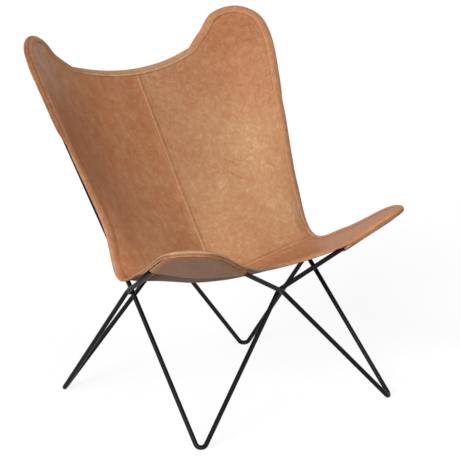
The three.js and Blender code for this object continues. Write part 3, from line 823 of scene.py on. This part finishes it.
def cut_size(piece, width, length):
    """Flat size and area in metres of the hide that a piece was cut from."""
    area = sum(face.area for face in piece.data.polygons if face.material_index == GRAIN)
    return {"flat": (width * MM, length * MM), "area": area}


print("rim bulges by", RIM_BULGE, "mm")

# %% [markdown]
# ## Panels
#
# Three panels make the sling: two halves of the back, lapped and sewn up the middle, and a seat that is
# lapped under both along a seam that bows forward. Beside a lap the leather is skived, pared thin, so the
# lower panel goes behind by about 1 mm and eases back to the surface. A cloth simulation would only find this
# hanging shape again, so the panels are laid on the surface and given relief: a soft wave, pressed seams and
# a few creases.

# %% Seams and relief of the panels
LAP, LAP_EASE, LAYER_STEP = 12, 60, 1.15
MIDDLE_SEAM_TO_LEFT = 9
CROSS_SEAM_AT, CROSS_SEAM_BOW = 0.667, 0.053
SPEED_STEP = 0.01
SEAM_PRESS, LAP_TRACE, TRACE_WIDTH, TRACE_END_FADE = 0.5, 17, 6, 20
# Size and height of each wave in mm, and the share of the sling over which they fade at its edge
WAVES, WAVE_FADE = ((150, 1.6), (60, 0.6)), 0.12
# Both ends of each crease, as across and along, and its depth in mm
CREASES = (
    ((0.715, 0.357), (0.755, 0.378), 0.8),
    ((0.745, 0.373), (0.785, 0.405), 0.9),
    ((0.73, 0.404), (0.775, 0.438), 0.9),
    ((0.76, 0.43), (0.812, 0.466), 0.6),
    ((0.655, 0.36), (0.695, 0.383), 0.5),
    ((0.77, 0.664), (0.87, 0.652), -0.5),
)
CREASE_WIDTH = 3.2


def cross_seam_at(across):
    """Place of the cross seam along the sling: it bows forward in the middle."""
    return CROSS_SEAM_AT + CROSS_SEAM_BOW * in_middle(across) ** 4


def speed_across(along):
    """Millimetres on the surface for a whole step of across, in the sling's middle."""
    right, left = sling_point(0.5 - SPEED_STEP, along), sling_point(0.5 + SPEED_STEP, along)
    return np.linalg.norm(left - right, axis=-1) / (2 * SPEED_STEP)


def speed_along(across):
    """Millimetres on the surface for a whole step of along, at the cross seam."""
    seam = cross_seam_at(across)
    before, after = (sling_point(across, seam + step) for step in (-SPEED_STEP, SPEED_STEP))
    return np.linalg.norm(after - before, axis=-1) / (2 * SPEED_STEP)


def left_of_seam(across, along):
    """Distance in mm from the middle seam towards the sitter's left."""
    return (across - 0.5) * speed_across(along) - MIDDLE_SEAM_TO_LEFT


def past_cross_seam(across, along):
    """Distance in mm from the cross seam towards the front."""
    return (along - cross_seam_at(across)) * speed_along(across)


def fading(distance, width):
    """1 at no distance, fading softly to 0 past the width."""
    return np.exp(-(distance / width) ** 2)


def crease_depth(places):
    """Depth of the creases in mm."""
    depth = np.zeros(places.shape[:-1])
    for start, end, deep in CREASES:
        a, b = sling_point(*start), sling_point(*end)
        share = np.clip((places - a) @ (b - a) / ((b - a) @ (b - a)), 0, 1)
        away = np.linalg.norm(places - a - share[..., None] * (b - a), axis=-1)
        depth += deep * fading(away, CREASE_WIDTH) * np.sin(share * math.pi)
    return depth


def relief(across, along, places):
    """How far the leather stands off the smooth surface, in mm towards the sitter."""
    wave = np.zeros(places.shape[:-1])
    for size, height in WAVES:
        flat = [noise.noise(Vector(place / size)) for place in places.reshape(-1, 3)]
        wave += height * np.reshape(flat, wave.shape)
    inside = np.minimum.reduce([across, 1 - across, along, 1 - along])
    wave *= smoothstep(inside, 0, WAVE_FADE)
    beside, below = left_of_seam(across, along), past_cross_seam(across, along)
    on_back = smoothstep(below, TRACE_END_FADE, -TRACE_END_FADE)
    traces = fading(beside - LAP_TRACE, TRACE_WIDTH) * on_back + fading(below + LAP_TRACE, TRACE_WIDTH)
    return wave - SEAM_PRESS * traces - crease_depth(places)


def under_lap(distance):
    """Share of a layer's step that a panel lies behind, at a distance from the seam."""
    return 1 - smoothstep(np.maximum(distance, 0), LAP / 2, LAP / 2 + LAP_EASE)


seam_places = cross_seam_at(0), cross_seam_at(0.5)
print("cross seam at %.3f of the length at the sides and %.3f in the middle" % seam_places)

# %% [markdown]
# ## Tones of the hide
#
# Some marks are wear and some are painted light and shade. Beside a cut edge runs a pale line and a strip
# that the sewing pressed dark. Painted shade darkens a line beside the binding's edge, the creases and the
# back left ear, a painted sheen pales the back right ear, and other broad places are pale. The right half
# took the dye unevenly, so it has streaks of tone and of warmth. All this could be painted by hand, but
# formulas follow the seams wherever these run.

# %% Tones beside seams, on pale places and of painted light and shade
BAND_INSET = 6.5
# Painted shade in a dark line beside the binding's edge: tone, distance from the sling's edge and width
EDGE_SHADE_TONE, EDGE_SHADE_AT, EDGE_SHADE_WIDTH = -0.2, BAND_INSET + 1.5, 2
# Painted shade in the creases; the crease that stands up gets a painted highlight instead
CREASE_SHADE = -0.4
# Broad places: where across and along, how broad in mm and how pale. The first four are pale places, the
# fifth is painted shade on the back left ear and the last a painted sheen on the back right ear
PALE_PLACES_AND_PAINTED_LIGHT = (
    ((0.81, 0.34), 120, 0.25),
    ((0.75, 0.52), 150, 0.2),
    ((0.95, 0.58), 60, 0.2),
    ((0.25, 0.6), 160, 0.3),
    ((0.95, 0.03), 180, -0.4),
    ((0.05, 0.03), 140, 0.6),
)
# Beside a cut edge, in mm from it: the pale line, the dark strip and a faint line at its end
CUT_LINE_AT, CUT_LINE_WIDTH = 0.6, 1.0
STRIP_TONE, STRIP_START, STRIP_END = -0.28, (1.5, 3.5), (9, 16)
FAINT_TONE, FAINT_AT, FAINT_WIDTH = 0.15, 14, 2
# Fall-off, fineness step and number of the layers of noise in a streak
STREAK_LAYERS = (0.7, 2.0, 3)

edge_tree = kdtree.KDTree(len(outline))
for index, place in enumerate(outline):
    edge_tree.insert(place, index)
edge_tree.balance()


def from_edge(places):
    """Distance in mm from the nearest point of the sling's edge."""
    return np.reshape([edge_tree.find(place)[2] for place in places.reshape(-1, 3)], places.shape[:-1])


def broad_tone_and_painted_light(places):
    """Broad pale places, painted shade and sheen on the back ears, and painted shade in creases and beside
    the binding.
    """
    edge_line = fading(from_edge(places) - EDGE_SHADE_AT, EDGE_SHADE_WIDTH)
    tone = EDGE_SHADE_TONE * edge_line + CREASE_SHADE * crease_depth(places)
    for centre, size, strength in PALE_PLACES_AND_PAINTED_LIGHT:
        tone += strength * fading(np.linalg.norm(places - sling_point(*centre), axis=-1), size)
    return tone


def streaks(places, size):
    """Uneven dye, from about -1 to 1, in streaks that are longer down the hide than across it."""
    values = [noise.fractal(place, *STREAK_LAYERS) for place in (places / size).reshape(-1, 3)]
    return np.reshape(values, places.shape[:-1])


def lap_tone(past_edge, pale):
    """Tone beside the cut edge of an upper panel, whose own line is as pale as given."""
    cut_line = fading(past_edge - CUT_LINE_AT, CUT_LINE_WIDTH)
    dark_strip = smoothstep(past_edge, *STRIP_START) * (1 - smoothstep(past_edge, *STRIP_END))
    faint_line = fading(past_edge - FAINT_AT, FAINT_WIDTH)
    return pale * cut_line + STRIP_TONE * dark_strip + FAINT_TONE * faint_line


# Two of these places are painted light: painted shade and a painted sheen on the back ears
print(len(PALE_PLACES_AND_PAINTED_LIGHT), "rubbed or handled places")

# %% [markdown]
# ## Laying the panels
#
# Each panel is a grid of places on the surface. The pitch is a few millimetres, which is enough for a soft
# wave, and finer beside the cut edges, where the laps and their pale and dark lines are narrow.

# %% Lay the panels on the surface
SKIVED, SKIVE_EASE = 1.0, 18
PANEL_PITCH, PLACE_ROUNDS = 3.2, 3
FINE_STEPS = (0.8, 1.6, 2.4, 3.2, 4.2, 5.4, 6.8, 8.2, 9.6, 11.2, 13.2, 16)
# Where a panel's width is taken, and how much longer than straight it hangs
WIDTH_AT, HANG_LENGTH = 0.3, 1.25
# Base tone of each panel; the right half and the seat are darker, painted shade where less lamp falls
PANEL_TONES_AND_SHADE = {"left": 0.04, "right": -0.06, "seat": -0.12}
# Warmth of the right half and the seat: painted warm bounce light in their shade
RIGHT_BOUNCE_WARMTH, SEAT_BOUNCE_WARMTH = 0.32, 0.12
STREAK_SIZE, STREAK_TONE = (22, 22, 40), 0.3
WARM_STREAK_SIZE, WARM_STREAKS = (24, 24, 48), 0.25
# Paleness of the cut edges: the middle one at the top and what it gains downwards, and the cross one
MIDDLE_CUT_TONE, MIDDLE_CUT_GAIN, CROSS_CUT_TONE = 0.05, 0.25, 0.35
BESIDE_SEAM_TONE, BESIDE_SEAM_WIDTH = 0.15, 14


def lay_panel(name, across, along, layers_behind, past_cuts, tone, warmth=0):
    """One panel, skived thin beside the cut edges that it hides or shows in a lap."""
    surface, normal = sling_point(across, along), sling_normal(across, along)
    near_cut = np.max([1 - smoothstep(past, LAP, LAP + SKIVE_EASE) for past in past_cuts], axis=0)
    thickness = LEATHER + (SKIVED - LEATHER) * near_cut
    depth = LEATHER / 2 + relief(across, along, surface) - layers_behind * LAYER_STEP
    faces = [surface + normal * offset[..., None] for offset in (depth, depth - thickness)]
    piece = leather_sheet(f"leather_{name}", *faces, tone + broad_tone_and_painted_light(surface), warmth)
    widest = max(length_of(row) for row in surface)
    longest = max(length_of(column) for column in surface.swapaxes(0, 1))
    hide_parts(name)
    print(name, len(piece.data.polygons), "faces, %.0f by %.0f mm" % (widest, longest))
    return piece, cut_size(piece, widest, longest)


def fine_at_ends(length):
    """Shares of a length in steps of the pitch, with finer steps beside both ends."""
    fine = np.array(FINE_STEPS)
    middle = np.linspace(fine[-1], length - fine[-1], round((length - 2 * fine[-1]) / PANEL_PITCH))
    return np.concatenate([[0], fine[:-1], middle, length - fine[-2::-1], [length]]) / length


def panel_places(start, end, first, last):
    """Grid of places between its ends; each round lets the two seams settle with each other."""
    wide, tall = sling_point((start, end), WIDTH_AT), sling_point(0.5, (first, last))
    columns = fine_at_ends(np.linalg.norm(wide[1] - wide[0]))
    rows = fine_at_ends(HANG_LENGTH * np.linalg.norm(tall[1] - tall[0]))
    share_across, share_along = np.meshgrid(columns, rows)
    across = start + (end - start) * share_across
    for _ in range(PLACE_ROUNDS):
        seam, half_lap = cross_seam_at(across), LAP / 2 / speed_along(across)
        top = seam - half_lap if first > 0 else first
        bottom = seam + half_lap if last < 1 else last
        along = top + (bottom - top) * share_along
        speed = speed_across(along)
        right = start + (MIDDLE_SEAM_TO_LEFT - LAP / 2) / speed if start > 0 else start
        left = end + (MIDDLE_SEAM_TO_LEFT + LAP / 2) / speed if end < 1 else end
        across = right + (left - right) * share_across
    return across, along


across, along = panel_places(0.5, 1, 0, CROSS_SEAM_AT)
past_cuts = left_of_seam(across, along) + LAP / 2, LAP / 2 - past_cross_seam(across, along)
middle_cut = lap_tone(past_cuts[0], MIDDLE_CUT_TONE + MIDDLE_CUT_GAIN * along)
lay_panel(
    "back_panel_left", across, along, np.zeros_like(across), past_cuts,
    PANEL_TONES_AND_SHADE["left"] + middle_cut + lap_tone(past_cuts[1], CROSS_CUT_TONE),
)
across, along = panel_places(0, 0.5, 0, CROSS_SEAM_AT)
beside = -left_of_seam(across, along)
past_cuts = beside + LAP / 2, LAP / 2 - past_cross_seam(across, along)
surface = sling_point(across, along)
streaks_and_shade = PANEL_TONES_AND_SHADE["right"] + STREAK_TONE * streaks(surface, STREAK_SIZE)
pulled = BESIDE_SEAM_TONE * fading(beside - LAP / 2, BESIDE_SEAM_WIDTH)
lay_panel(
    "back_panel_right", across, along, under_lap(beside), past_cuts,
    streaks_and_shade + pulled + lap_tone(past_cuts[1], CROSS_CUT_TONE),
    np.clip(RIGHT_BOUNCE_WARMTH + WARM_STREAKS * streaks(surface, WARM_STREAK_SIZE), 0, 1),
)
across, along = panel_places(0, 1, CROSS_SEAM_AT, 1)
below = past_cross_seam(across, along)
near_middle = under_lap(np.abs(left_of_seam(across, cross_seam_at(across))))
lay_panel(
    "seat_panel", across, along, under_lap(below) * (1 + near_middle), [below + LAP / 2],
    np.full_like(across, PANEL_TONES_AND_SHADE["seat"]), SEAT_BOUNCE_WARMTH,
)

# %% [markdown]
# ## Binding
#
# A strip of thinner leather is folded over the raw edge all the way round and sewn through. Over the ears it
# also covers the top of the pockets, so there its outer half hangs down behind. The strip is a section of a
# few points that is carried round the edge, and goes from one form to the other beside each ear. On the ears
# it gets painted light: a painted highlight on the crest of the front ears, and painted shade on the crest of
# the back ears and on every hanging flap.

# %% Places round the edge
BAND_STEP = 5
NORMAL_REACH, TRAVEL_REACH = 4, 1
# The ear tips in order round the edge, as across and along
EAR_TIPS = ((0, 0), (1, 0), (1, 1), (0, 1))


def edge_places(start, end):
    """Even places on the edge from one ear tip to the next."""
    start, end = np.array(start, float)[:, None], np.array(end, float)[:, None]
    line = sling_point(*(start + (end - start) * np.linspace(0, 1, EDGE_SAMPLES)))
    count = round(length_of(line) / BAND_STEP)
    return start + (end - start) * np.linspace(0, 1, count, endpoint=False)


def evened(values, reach):
    """Directions round the loop, each the mean of its neighbours."""
    return unit(sum(np.roll(values, step, axis=0) for step in range(-reach, reach + 1)))


loop_across, loop_along = np.hstack([
    edge_places(start, end) for start, end in zip(EAR_TIPS, EAR_TIPS[1:] + EAR_TIPS[:1])
])
edge_line = sling_point(loop_across, loop_along)
edge_normal = evened(sling_normal(loop_across, loop_along), NORMAL_REACH)
edge_travel = evened(np.roll(edge_line, -1, axis=0) - np.roll(edge_line, 1, axis=0), TRAVEL_REACH)
edge_outward = unit(np.cross(edge_normal, edge_travel))
print(len(edge_line), "places round the edge")

# %% Sections of the binding
BAND, BAND_COLUMNS = 1.6, 24
# Points of a section, out from the edge and up from the leather
FRONT_FLAP = ((-BAND_INSET, 2.15), (-3, 2.3), (0, 2.3), (3, 1.75), (6.5, 0.0), (10, -2.2))
BACK_FLAP = ((12.2, -4.2), (12.6, -5.9), (11.2, -7.3), (8, -6.2), (4, -4.2), (0, -2.5), (-2.5, -2.2))
HANGING_FLAP = (
    (12.5, -4.0), (13.3, -5.6), (13.7, -7.4), (13.6, -9.2), (13.2, -11), (12.6, -12.8), (11.8, -14.6),
)
# Depths of the pockets from the ear tip, on the outer and on the inner rod
POCKET_DEPTHS = {"front": (115, 148), "back": (205, 120)}
FLAP_PAST_POCKET, FLAP_TURN, NEAR_EAR = 54, 50, 1.6


def ear_share(places):
    """How much a place on the edge belongs to an ear's pocket, from 0 to 1."""
    shares = []
    for (end, _), ear in ears.items():
        to_tip, outward, _ = ear_axes(ear)
        tip = ear.centre + to_tip * ear.radius
        outer_depth, inner_depth = POCKET_DEPTHS[end]
        mouth = np.where((places - tip) @ outward > 0, outer_depth + FLAP_PAST_POCKET, inner_depth)
        depth = (tip - places) @ to_tip
        near = np.linalg.norm(places - tip, axis=-1) < NEAR_EAR * mouth
        shares.append(near * smoothstep(depth, mouth + FLAP_TURN, mouth - FLAP_TURN))
    return np.max(shares, axis=0)


def section_line(points):
    """A section as evenly spaced points on a smooth line, and the directions square to it."""
    line = on_line(smooth_line(np.array(points, float)), np.linspace(0, 1, BAND_COLUMNS))
    ahead = unit(np.gradient(line, axis=0))
    return line, np.stack([-ahead[:, 1], ahead[:, 0]], axis=-1)


def round_the_edge(section):
    """Carries a section, one for each place on the edge, as points of out and up."""
    out, up = section[..., 0:1], section[..., 1:2]
    return edge_line[:, None] + edge_outward[:, None] * out + edge_normal[:, None] * up


on_ear = ear_share(edge_line)[:, None, None]
free_line, free_square = section_line(FRONT_FLAP + BACK_FLAP)
ear_line, ear_square = section_line(FRONT_FLAP + HANGING_FLAP)
band_line = free_line * (1 - on_ear) + ear_line * on_ear
band_square = unit(free_square * (1 - on_ear) + ear_square * on_ear)
band_middle = band_line + relief(loop_across, loop_along, edge_line)[:, None, None] * (0, 1)

# %% Fold the binding and give it its tones and painted light
# Painted light on each ear: painted highlight (above 0) or painted shade (below 0) on the fold's crest, and
# painted shade on the hanging flap
EAR_HIGHLIGHT_AND_SHADE = {
    "front_right": (0.55, -0.7), "front_left": (0.1, -0.3),
    "back_right": (-0.6, -0.95), "back_left": (-0.05, -0.6),
}
# Ranges in mm, out from the edge and up from the leather, in which the crest and the flap begin and end
CREST_OUT, CREST_UP = (6, 10), (-9, -6)
FLAP_START, FLAP_END = (-6, -9), (-13, -10)
# Tone of the free top binding; painted shade on the lamp-lit face of the right edge's binding, not its crest
TOP_BAND_TONE, RIGHT_BAND_SHADE = 0.25, -0.3
CUT_TONE, FLAP_CUT_TONE = 0.25, 0.6
TOP_CUT_TONE, TOP_CUT_COLUMNS = 0.3, 3

out, up = band_line[..., 0], band_line[..., 1]
crest = smoothstep(out, *CREST_OUT) * smoothstep(up, *CREST_UP)
flap = smoothstep(up, *FLAP_START) * smoothstep(up, *FLAP_END)
ear_ends = np.where(loop_along > CROSS_SEAM_AT, "front_", "back_")
nearest_ears = np.char.add(ear_ends, np.where(loop_across > 0.5, "left", "right"))
crest_highlight_and_shade, flap_shade = np.array([EAR_HIGHLIGHT_AND_SHADE[ear] for ear in nearest_ears]).T[..., None]
on_flap = on_ear[..., 0]
on_top = (loop_along == 0)[:, None] * (1 - on_flap)
on_right = (loop_across == 0)[:, None] * (1 - on_flap)
band_tone = on_flap * (crest * crest_highlight_and_shade + flap * flap_shade)
band_tone = band_tone + TOP_BAND_TONE * on_top + RIGHT_BAND_SHADE * on_right * (1 - crest)
band_tone[:, 0] += CUT_TONE
band_tone[:, :TOP_CUT_COLUMNS] += TOP_CUT_TONE * on_top
band_tone[:, -1:] += FLAP_CUT_TONE * on_flap
binding = leather_sheet(
    "leather_binding", round_the_edge(band_middle + band_square * BAND / 2),
    round_the_edge(band_middle - band_square * BAND / 2), band_tone, loop=True,
)
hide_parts("binding_top", "binding_left", "binding_front", "binding_right")
print(binding.name, len(binding.data.polygons), "faces")

# %% [markdown]
# ## Pockets
#
# A pocket is a tongue of leather sewn under the binding round each ear. It hugs the rod from behind and opens
# towards the middle of the sling, where its mouth is cut in a curve. Each is laid out in two halves that meet
# on the ear's middle line, so that the rows can follow the rod round its bend.

# %% Sew the pockets behind the ears
POCKET_PAST_ROD, POCKET_SLACK, POCKET_HUG = 15.5, 7, 6.6
POCKET_RIM_LIFT, POCKET_FLAT, POCKET_SAG = -0.04, -12, 5
HUG_START, HUG_END, HUG_STEPS = -25, -90, 7
MOUTH_BULGE, MOUTH_FADE = 10, 0.35
# A pocket's tone and warmth are painted light and warm bounce light in its shade; its mouth is paler
POCKET_PAINTED_LIGHT, MOUTH_TONE, POCKET_BOUNCE_WARMTH = 0.12, 0.3, 0.2
ROWS_DOWN_ROD, ROWS_ROUND_BEND, COLUMNS_TO_MIDDLE = 16, 30, 16


def pocket_section(radius, rim_drop):
    """Reach and lift of one face, from the rim round the rod to the flat part."""
    turn = np.radians(np.linspace(HUG_START, HUG_END, HUG_STEPS))
    bend = np.stack([(radius + POCKET_SLACK) * np.cos(turn), radius * np.sin(turn)], axis=-1)
    return [(POCKET_PAST_ROD, POCKET_RIM_LIFT - rim_drop), *bend, (POCKET_FLAT, -radius)]


def pocket_face(ear, section, depths):
    """Grid of points from the mouth on the outer rod round the tip to the mouth on the inner one."""
    to_tip, _, up = ear_axes(ear)
    shoulder_depth = ear.radius * (1 - math.sin(ear.half_angle))
    outer, inner = ((depth - shoulder_depth) / math.cos(ear.half_angle) for depth in depths)
    down_outer, down_inner = np.linspace(outer, 0, ROWS_DOWN_ROD), np.linspace(0, inner, ROWS_DOWN_ROD)
    turns = np.linspace(ear.sweep / 2, -ear.sweep / 2, ROWS_ROUND_BEND + 1)[1:-1]
    rows = np.array([
        *([beside_rod(ear, 1, down, *at) for at in section] for down in down_outer),
        *([beside_bend(ear, turn, *at) for at in section] for turn in turns),
        *([beside_rod(ear, -1, down, *at) for at in section] for down in down_inner),
    ])
    flat = rows[:, -1:]
    middle = (flat + flat[::-1]) / 2
    share = np.linspace(0, 1, COLUMNS_TO_MIDDLE)[1:, None]
    span = np.linalg.norm(flat - middle, axis=-1, keepdims=True)
    fullness = np.clip(span / span.max(), 0, 1) * np.sin(share * math.pi / 2)
    near_mouth = smoothstep(np.abs(np.linspace(1, -1, len(rows))[:, None, None]), MOUTH_FADE, 1)
    across = flat + (middle - flat) * share
    across = across - to_tip * MOUTH_BULGE * fullness * near_mouth - up * POCKET_SAG * fullness
    return np.concatenate([rows, across], axis=1)


for (end, side), ear in ears.items():
    inner = pocket_face(ear, pocket_section(POCKET_HUG, 0), POCKET_DEPTHS[end])
    outer = pocket_face(ear, pocket_section(POCKET_HUG + LEATHER, LEATHER), POCKET_DEPTHS[end])
    name = f"pocket_{end}_{SIDE_NAMES[side]}"
    tone = np.full(outer.shape[:2], POCKET_PAINTED_LIGHT)
    tone[[0, -1]] = MOUTH_TONE
    pocket = leather_sheet(f"leather_{name}", outer, inner, tone, POCKET_BOUNCE_WARMTH, folded=True)
    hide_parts(name)

# %% [markdown]
# ## Stitches
#
# The seams are sewn with thick waxed thread. One stitch is a short thread that dips into its two holes. It is
# modelled once and copied along each seam, all in one mesh, because there are many hundreds of them.

# %% Shape one stitch
STITCH_LENGTH, STITCH_PITCH, THREAD_THICKNESS = 4.0, 5.2, 1.0
STITCH_DIP = 0.6

bpy.ops.object.select_all(action="DESELECT")
bpy.ops.mesh.primitive_uv_sphere_add(segments=6, ring_count=6, radius=0.5, rotation=(0, math.pi / 2, 0))
start_edit("one_stitch")
bpy.ops.transform.resize(value=(STITCH_LENGTH, THREAD_THICKNESS, THREAD_THICKNESS))
bpy.ops.object.mode_set(mode="OBJECT")
bpy.ops.object.transform_apply(location=True, rotation=True, scale=True)
stitch = bpy.context.object
stitch_points = np.array([corner.co for corner in stitch.data.vertices])
stitch_points[:, 2] -= STITCH_DIP * THREAD_THICKNESS * (2 * stitch_points[:, 0] / STITCH_LENGTH) ** 2
stitch_faces = [list(face.vertices) for face in stitch.data.polygons]
bpy.data.objects.remove(stitch)
print("one stitch has", len(stitch_faces), "faces")

# %% Sew the seams
SEAM_INSETS, SEAM_SAMPLES = (-1.5, 8), 260
BAND_STITCH_AT = 4
# How far the thread's middle stands above the panels and the binding
PANEL_THREAD_LIFT, BAND_THREAD_LIFT = 0.15 * THREAD_THICKNESS, 0.1


def sew(name, lines):
    """A mesh of stitches along lines, each given as points in mm and the directions off the leather."""
    points, faces = [], []
    for line, off in lines:
        run = run_of(line)
        places = np.arange(STITCH_PITCH, run[-1] - STITCH_PITCH / 2, STITCH_PITCH) / run[-1]
        half = STITCH_LENGTH / 2 / run[-1]
        ahead = unit(on_line(line, places + half) - on_line(line, places - half))
        beside = unit(np.cross(at_distances(off, run, places * run[-1]), ahead))
        up = np.cross(ahead, beside)
        for centre, x, y, z in zip(on_line(line, places), ahead, beside, up):
            faces += [[corner + len(points) * len(stitch_points) for corner in face] for face in stitch_faces]
            points.append(centre + stitch_points @ np.array([x, y, z]))
    piece = new_piece(name, points, faces, [THREAD])
    bpy.ops.object.shade_smooth_by_angle(angle=math.radians(60))
    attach(piece, "root")
    print(name, len(points), "stitches")
    return piece


def seam_line(across, along):
    """A line on the grain side of the panel that lies on top, with its normals."""
    surface, normal = sling_point(across, along), sling_normal(across, along)
    lift = relief(across, along, surface) + LEATHER / 2 + PANEL_THREAD_LIFT
    return surface + normal * lift[:, None], normal


def band_row(column):
    """A closed line on the outside of the binding, with its normals."""
    row = round_the_edge(band_middle + band_square * (BAND / 2 + BAND_THREAD_LIFT))[:, column]
    square = band_square[:, column]
    off = edge_outward * square[:, 0:1] + edge_normal * square[:, 1:2]
    return np.vstack([row, row[:1]]), np.vstack([off, off[:1]])


steps = np.linspace(0, 1, SEAM_SAMPLES)
back_run = steps * cross_seam_at(0.5)
middle_seam = sew("stitches_middle_seam", [
    seam_line(0.5 + (MIDDLE_SEAM_TO_LEFT + inset) / speed_across(back_run), back_run)
    for inset in SEAM_INSETS
])
cross_seam = sew("stitches_cross_seam", [
    seam_line(steps, cross_seam_at(steps) - inset / speed_along(steps)) for inset in SEAM_INSETS
])
band_seam = sew("stitches_binding", [
    band_row(column) for column in (BAND_STITCH_AT, BAND_COLUMNS - 1 - BAND_STITCH_AT)
])

# %% [markdown]
#
# A sheet that hangs can't be larger than its flat blank, so each panel works out the flat size and the
# grain area of the hide it was cut from.

# %% [markdown]
# ## Studio
#
# The photograph is cut out on white, so the floor and the world look white to the camera while the lamps stay
# at a plain level. The key lamp stands to the camera's left and a little higher than the camera, which leaves
# the sitter's right half of the back in soft shade. The floor still takes the chair's shadow.

# %% Floor, lamps and world
WHITE, FLOOR_SHADE = "#ffffff", "#898989"
FLOOR_SIZE, FLOOR_GLOW = 80, 0.85
SKY_STRENGTH = 0.22
# Turn and height in degrees, strength, and softness in degrees
LAMPS = {"key": (-70, 25, 2.75, 30), "fill": (5, 35, 0.5, 60)}


def seen_rays(tree):
    """1 for rays that look at the studio directly or in a sheen."""
    kinds = add_node(tree, "ShaderNodeLightPath", {}).node.outputs
    return add_node(tree, "ShaderNodeMath",
                    {0: kinds["Is Camera Ray"], 1: kinds["Is Glossy Ray"]}, operation="MAXIMUM")


bpy.ops.object.select_all(action="DESELECT")
bpy.ops.mesh.primitive_plane_add(size=FLOOR_SIZE)
floor = bpy.context.object
floor.name = "floor"
paper, tree, shader, _ = new_finish("white_studio_paper")
glow = add_node(tree, "ShaderNodeMath", {0: seen_rays(tree), 1: FLOOR_GLOW}, operation="MULTIPLY")
feed(tree, shader, {
    "Base Color": linear(FLOOR_SHADE), "Roughness": 1.0, "Specular IOR Level": 0.0,
    "Emission Color": linear(WHITE), "Emission Strength": glow,
})
floor.data.materials.append(paper)

for name, (azimuth, elevation, strength, softness) in LAMPS.items():
    facing = towards(azimuth, elevation).to_track_quat("Z", "Y")
    bpy.ops.object.light_add(type="SUN", rotation=facing.to_euler())
    lamp = bpy.context.object
    lamp.name = name
    lamp.data.energy = strength
    lamp.data.angle = math.radians(softness)

sky = bpy.data.worlds.new("studio")
sky.use_nodes = True
bpy.context.scene.world = sky
tree = sky.node_tree
brightness = add_node(tree, "ShaderNodeMapRange", {0: seen_rays(tree), 3: SKY_STRENGTH, 4: 1.0})
feed(tree, tree.nodes["Background"], {"Color": linear(WHITE), "Strength": brightness})
bpy.context.scene.view_settings.view_transform = "Standard"
print("lamps:", ", ".join(LAMPS))
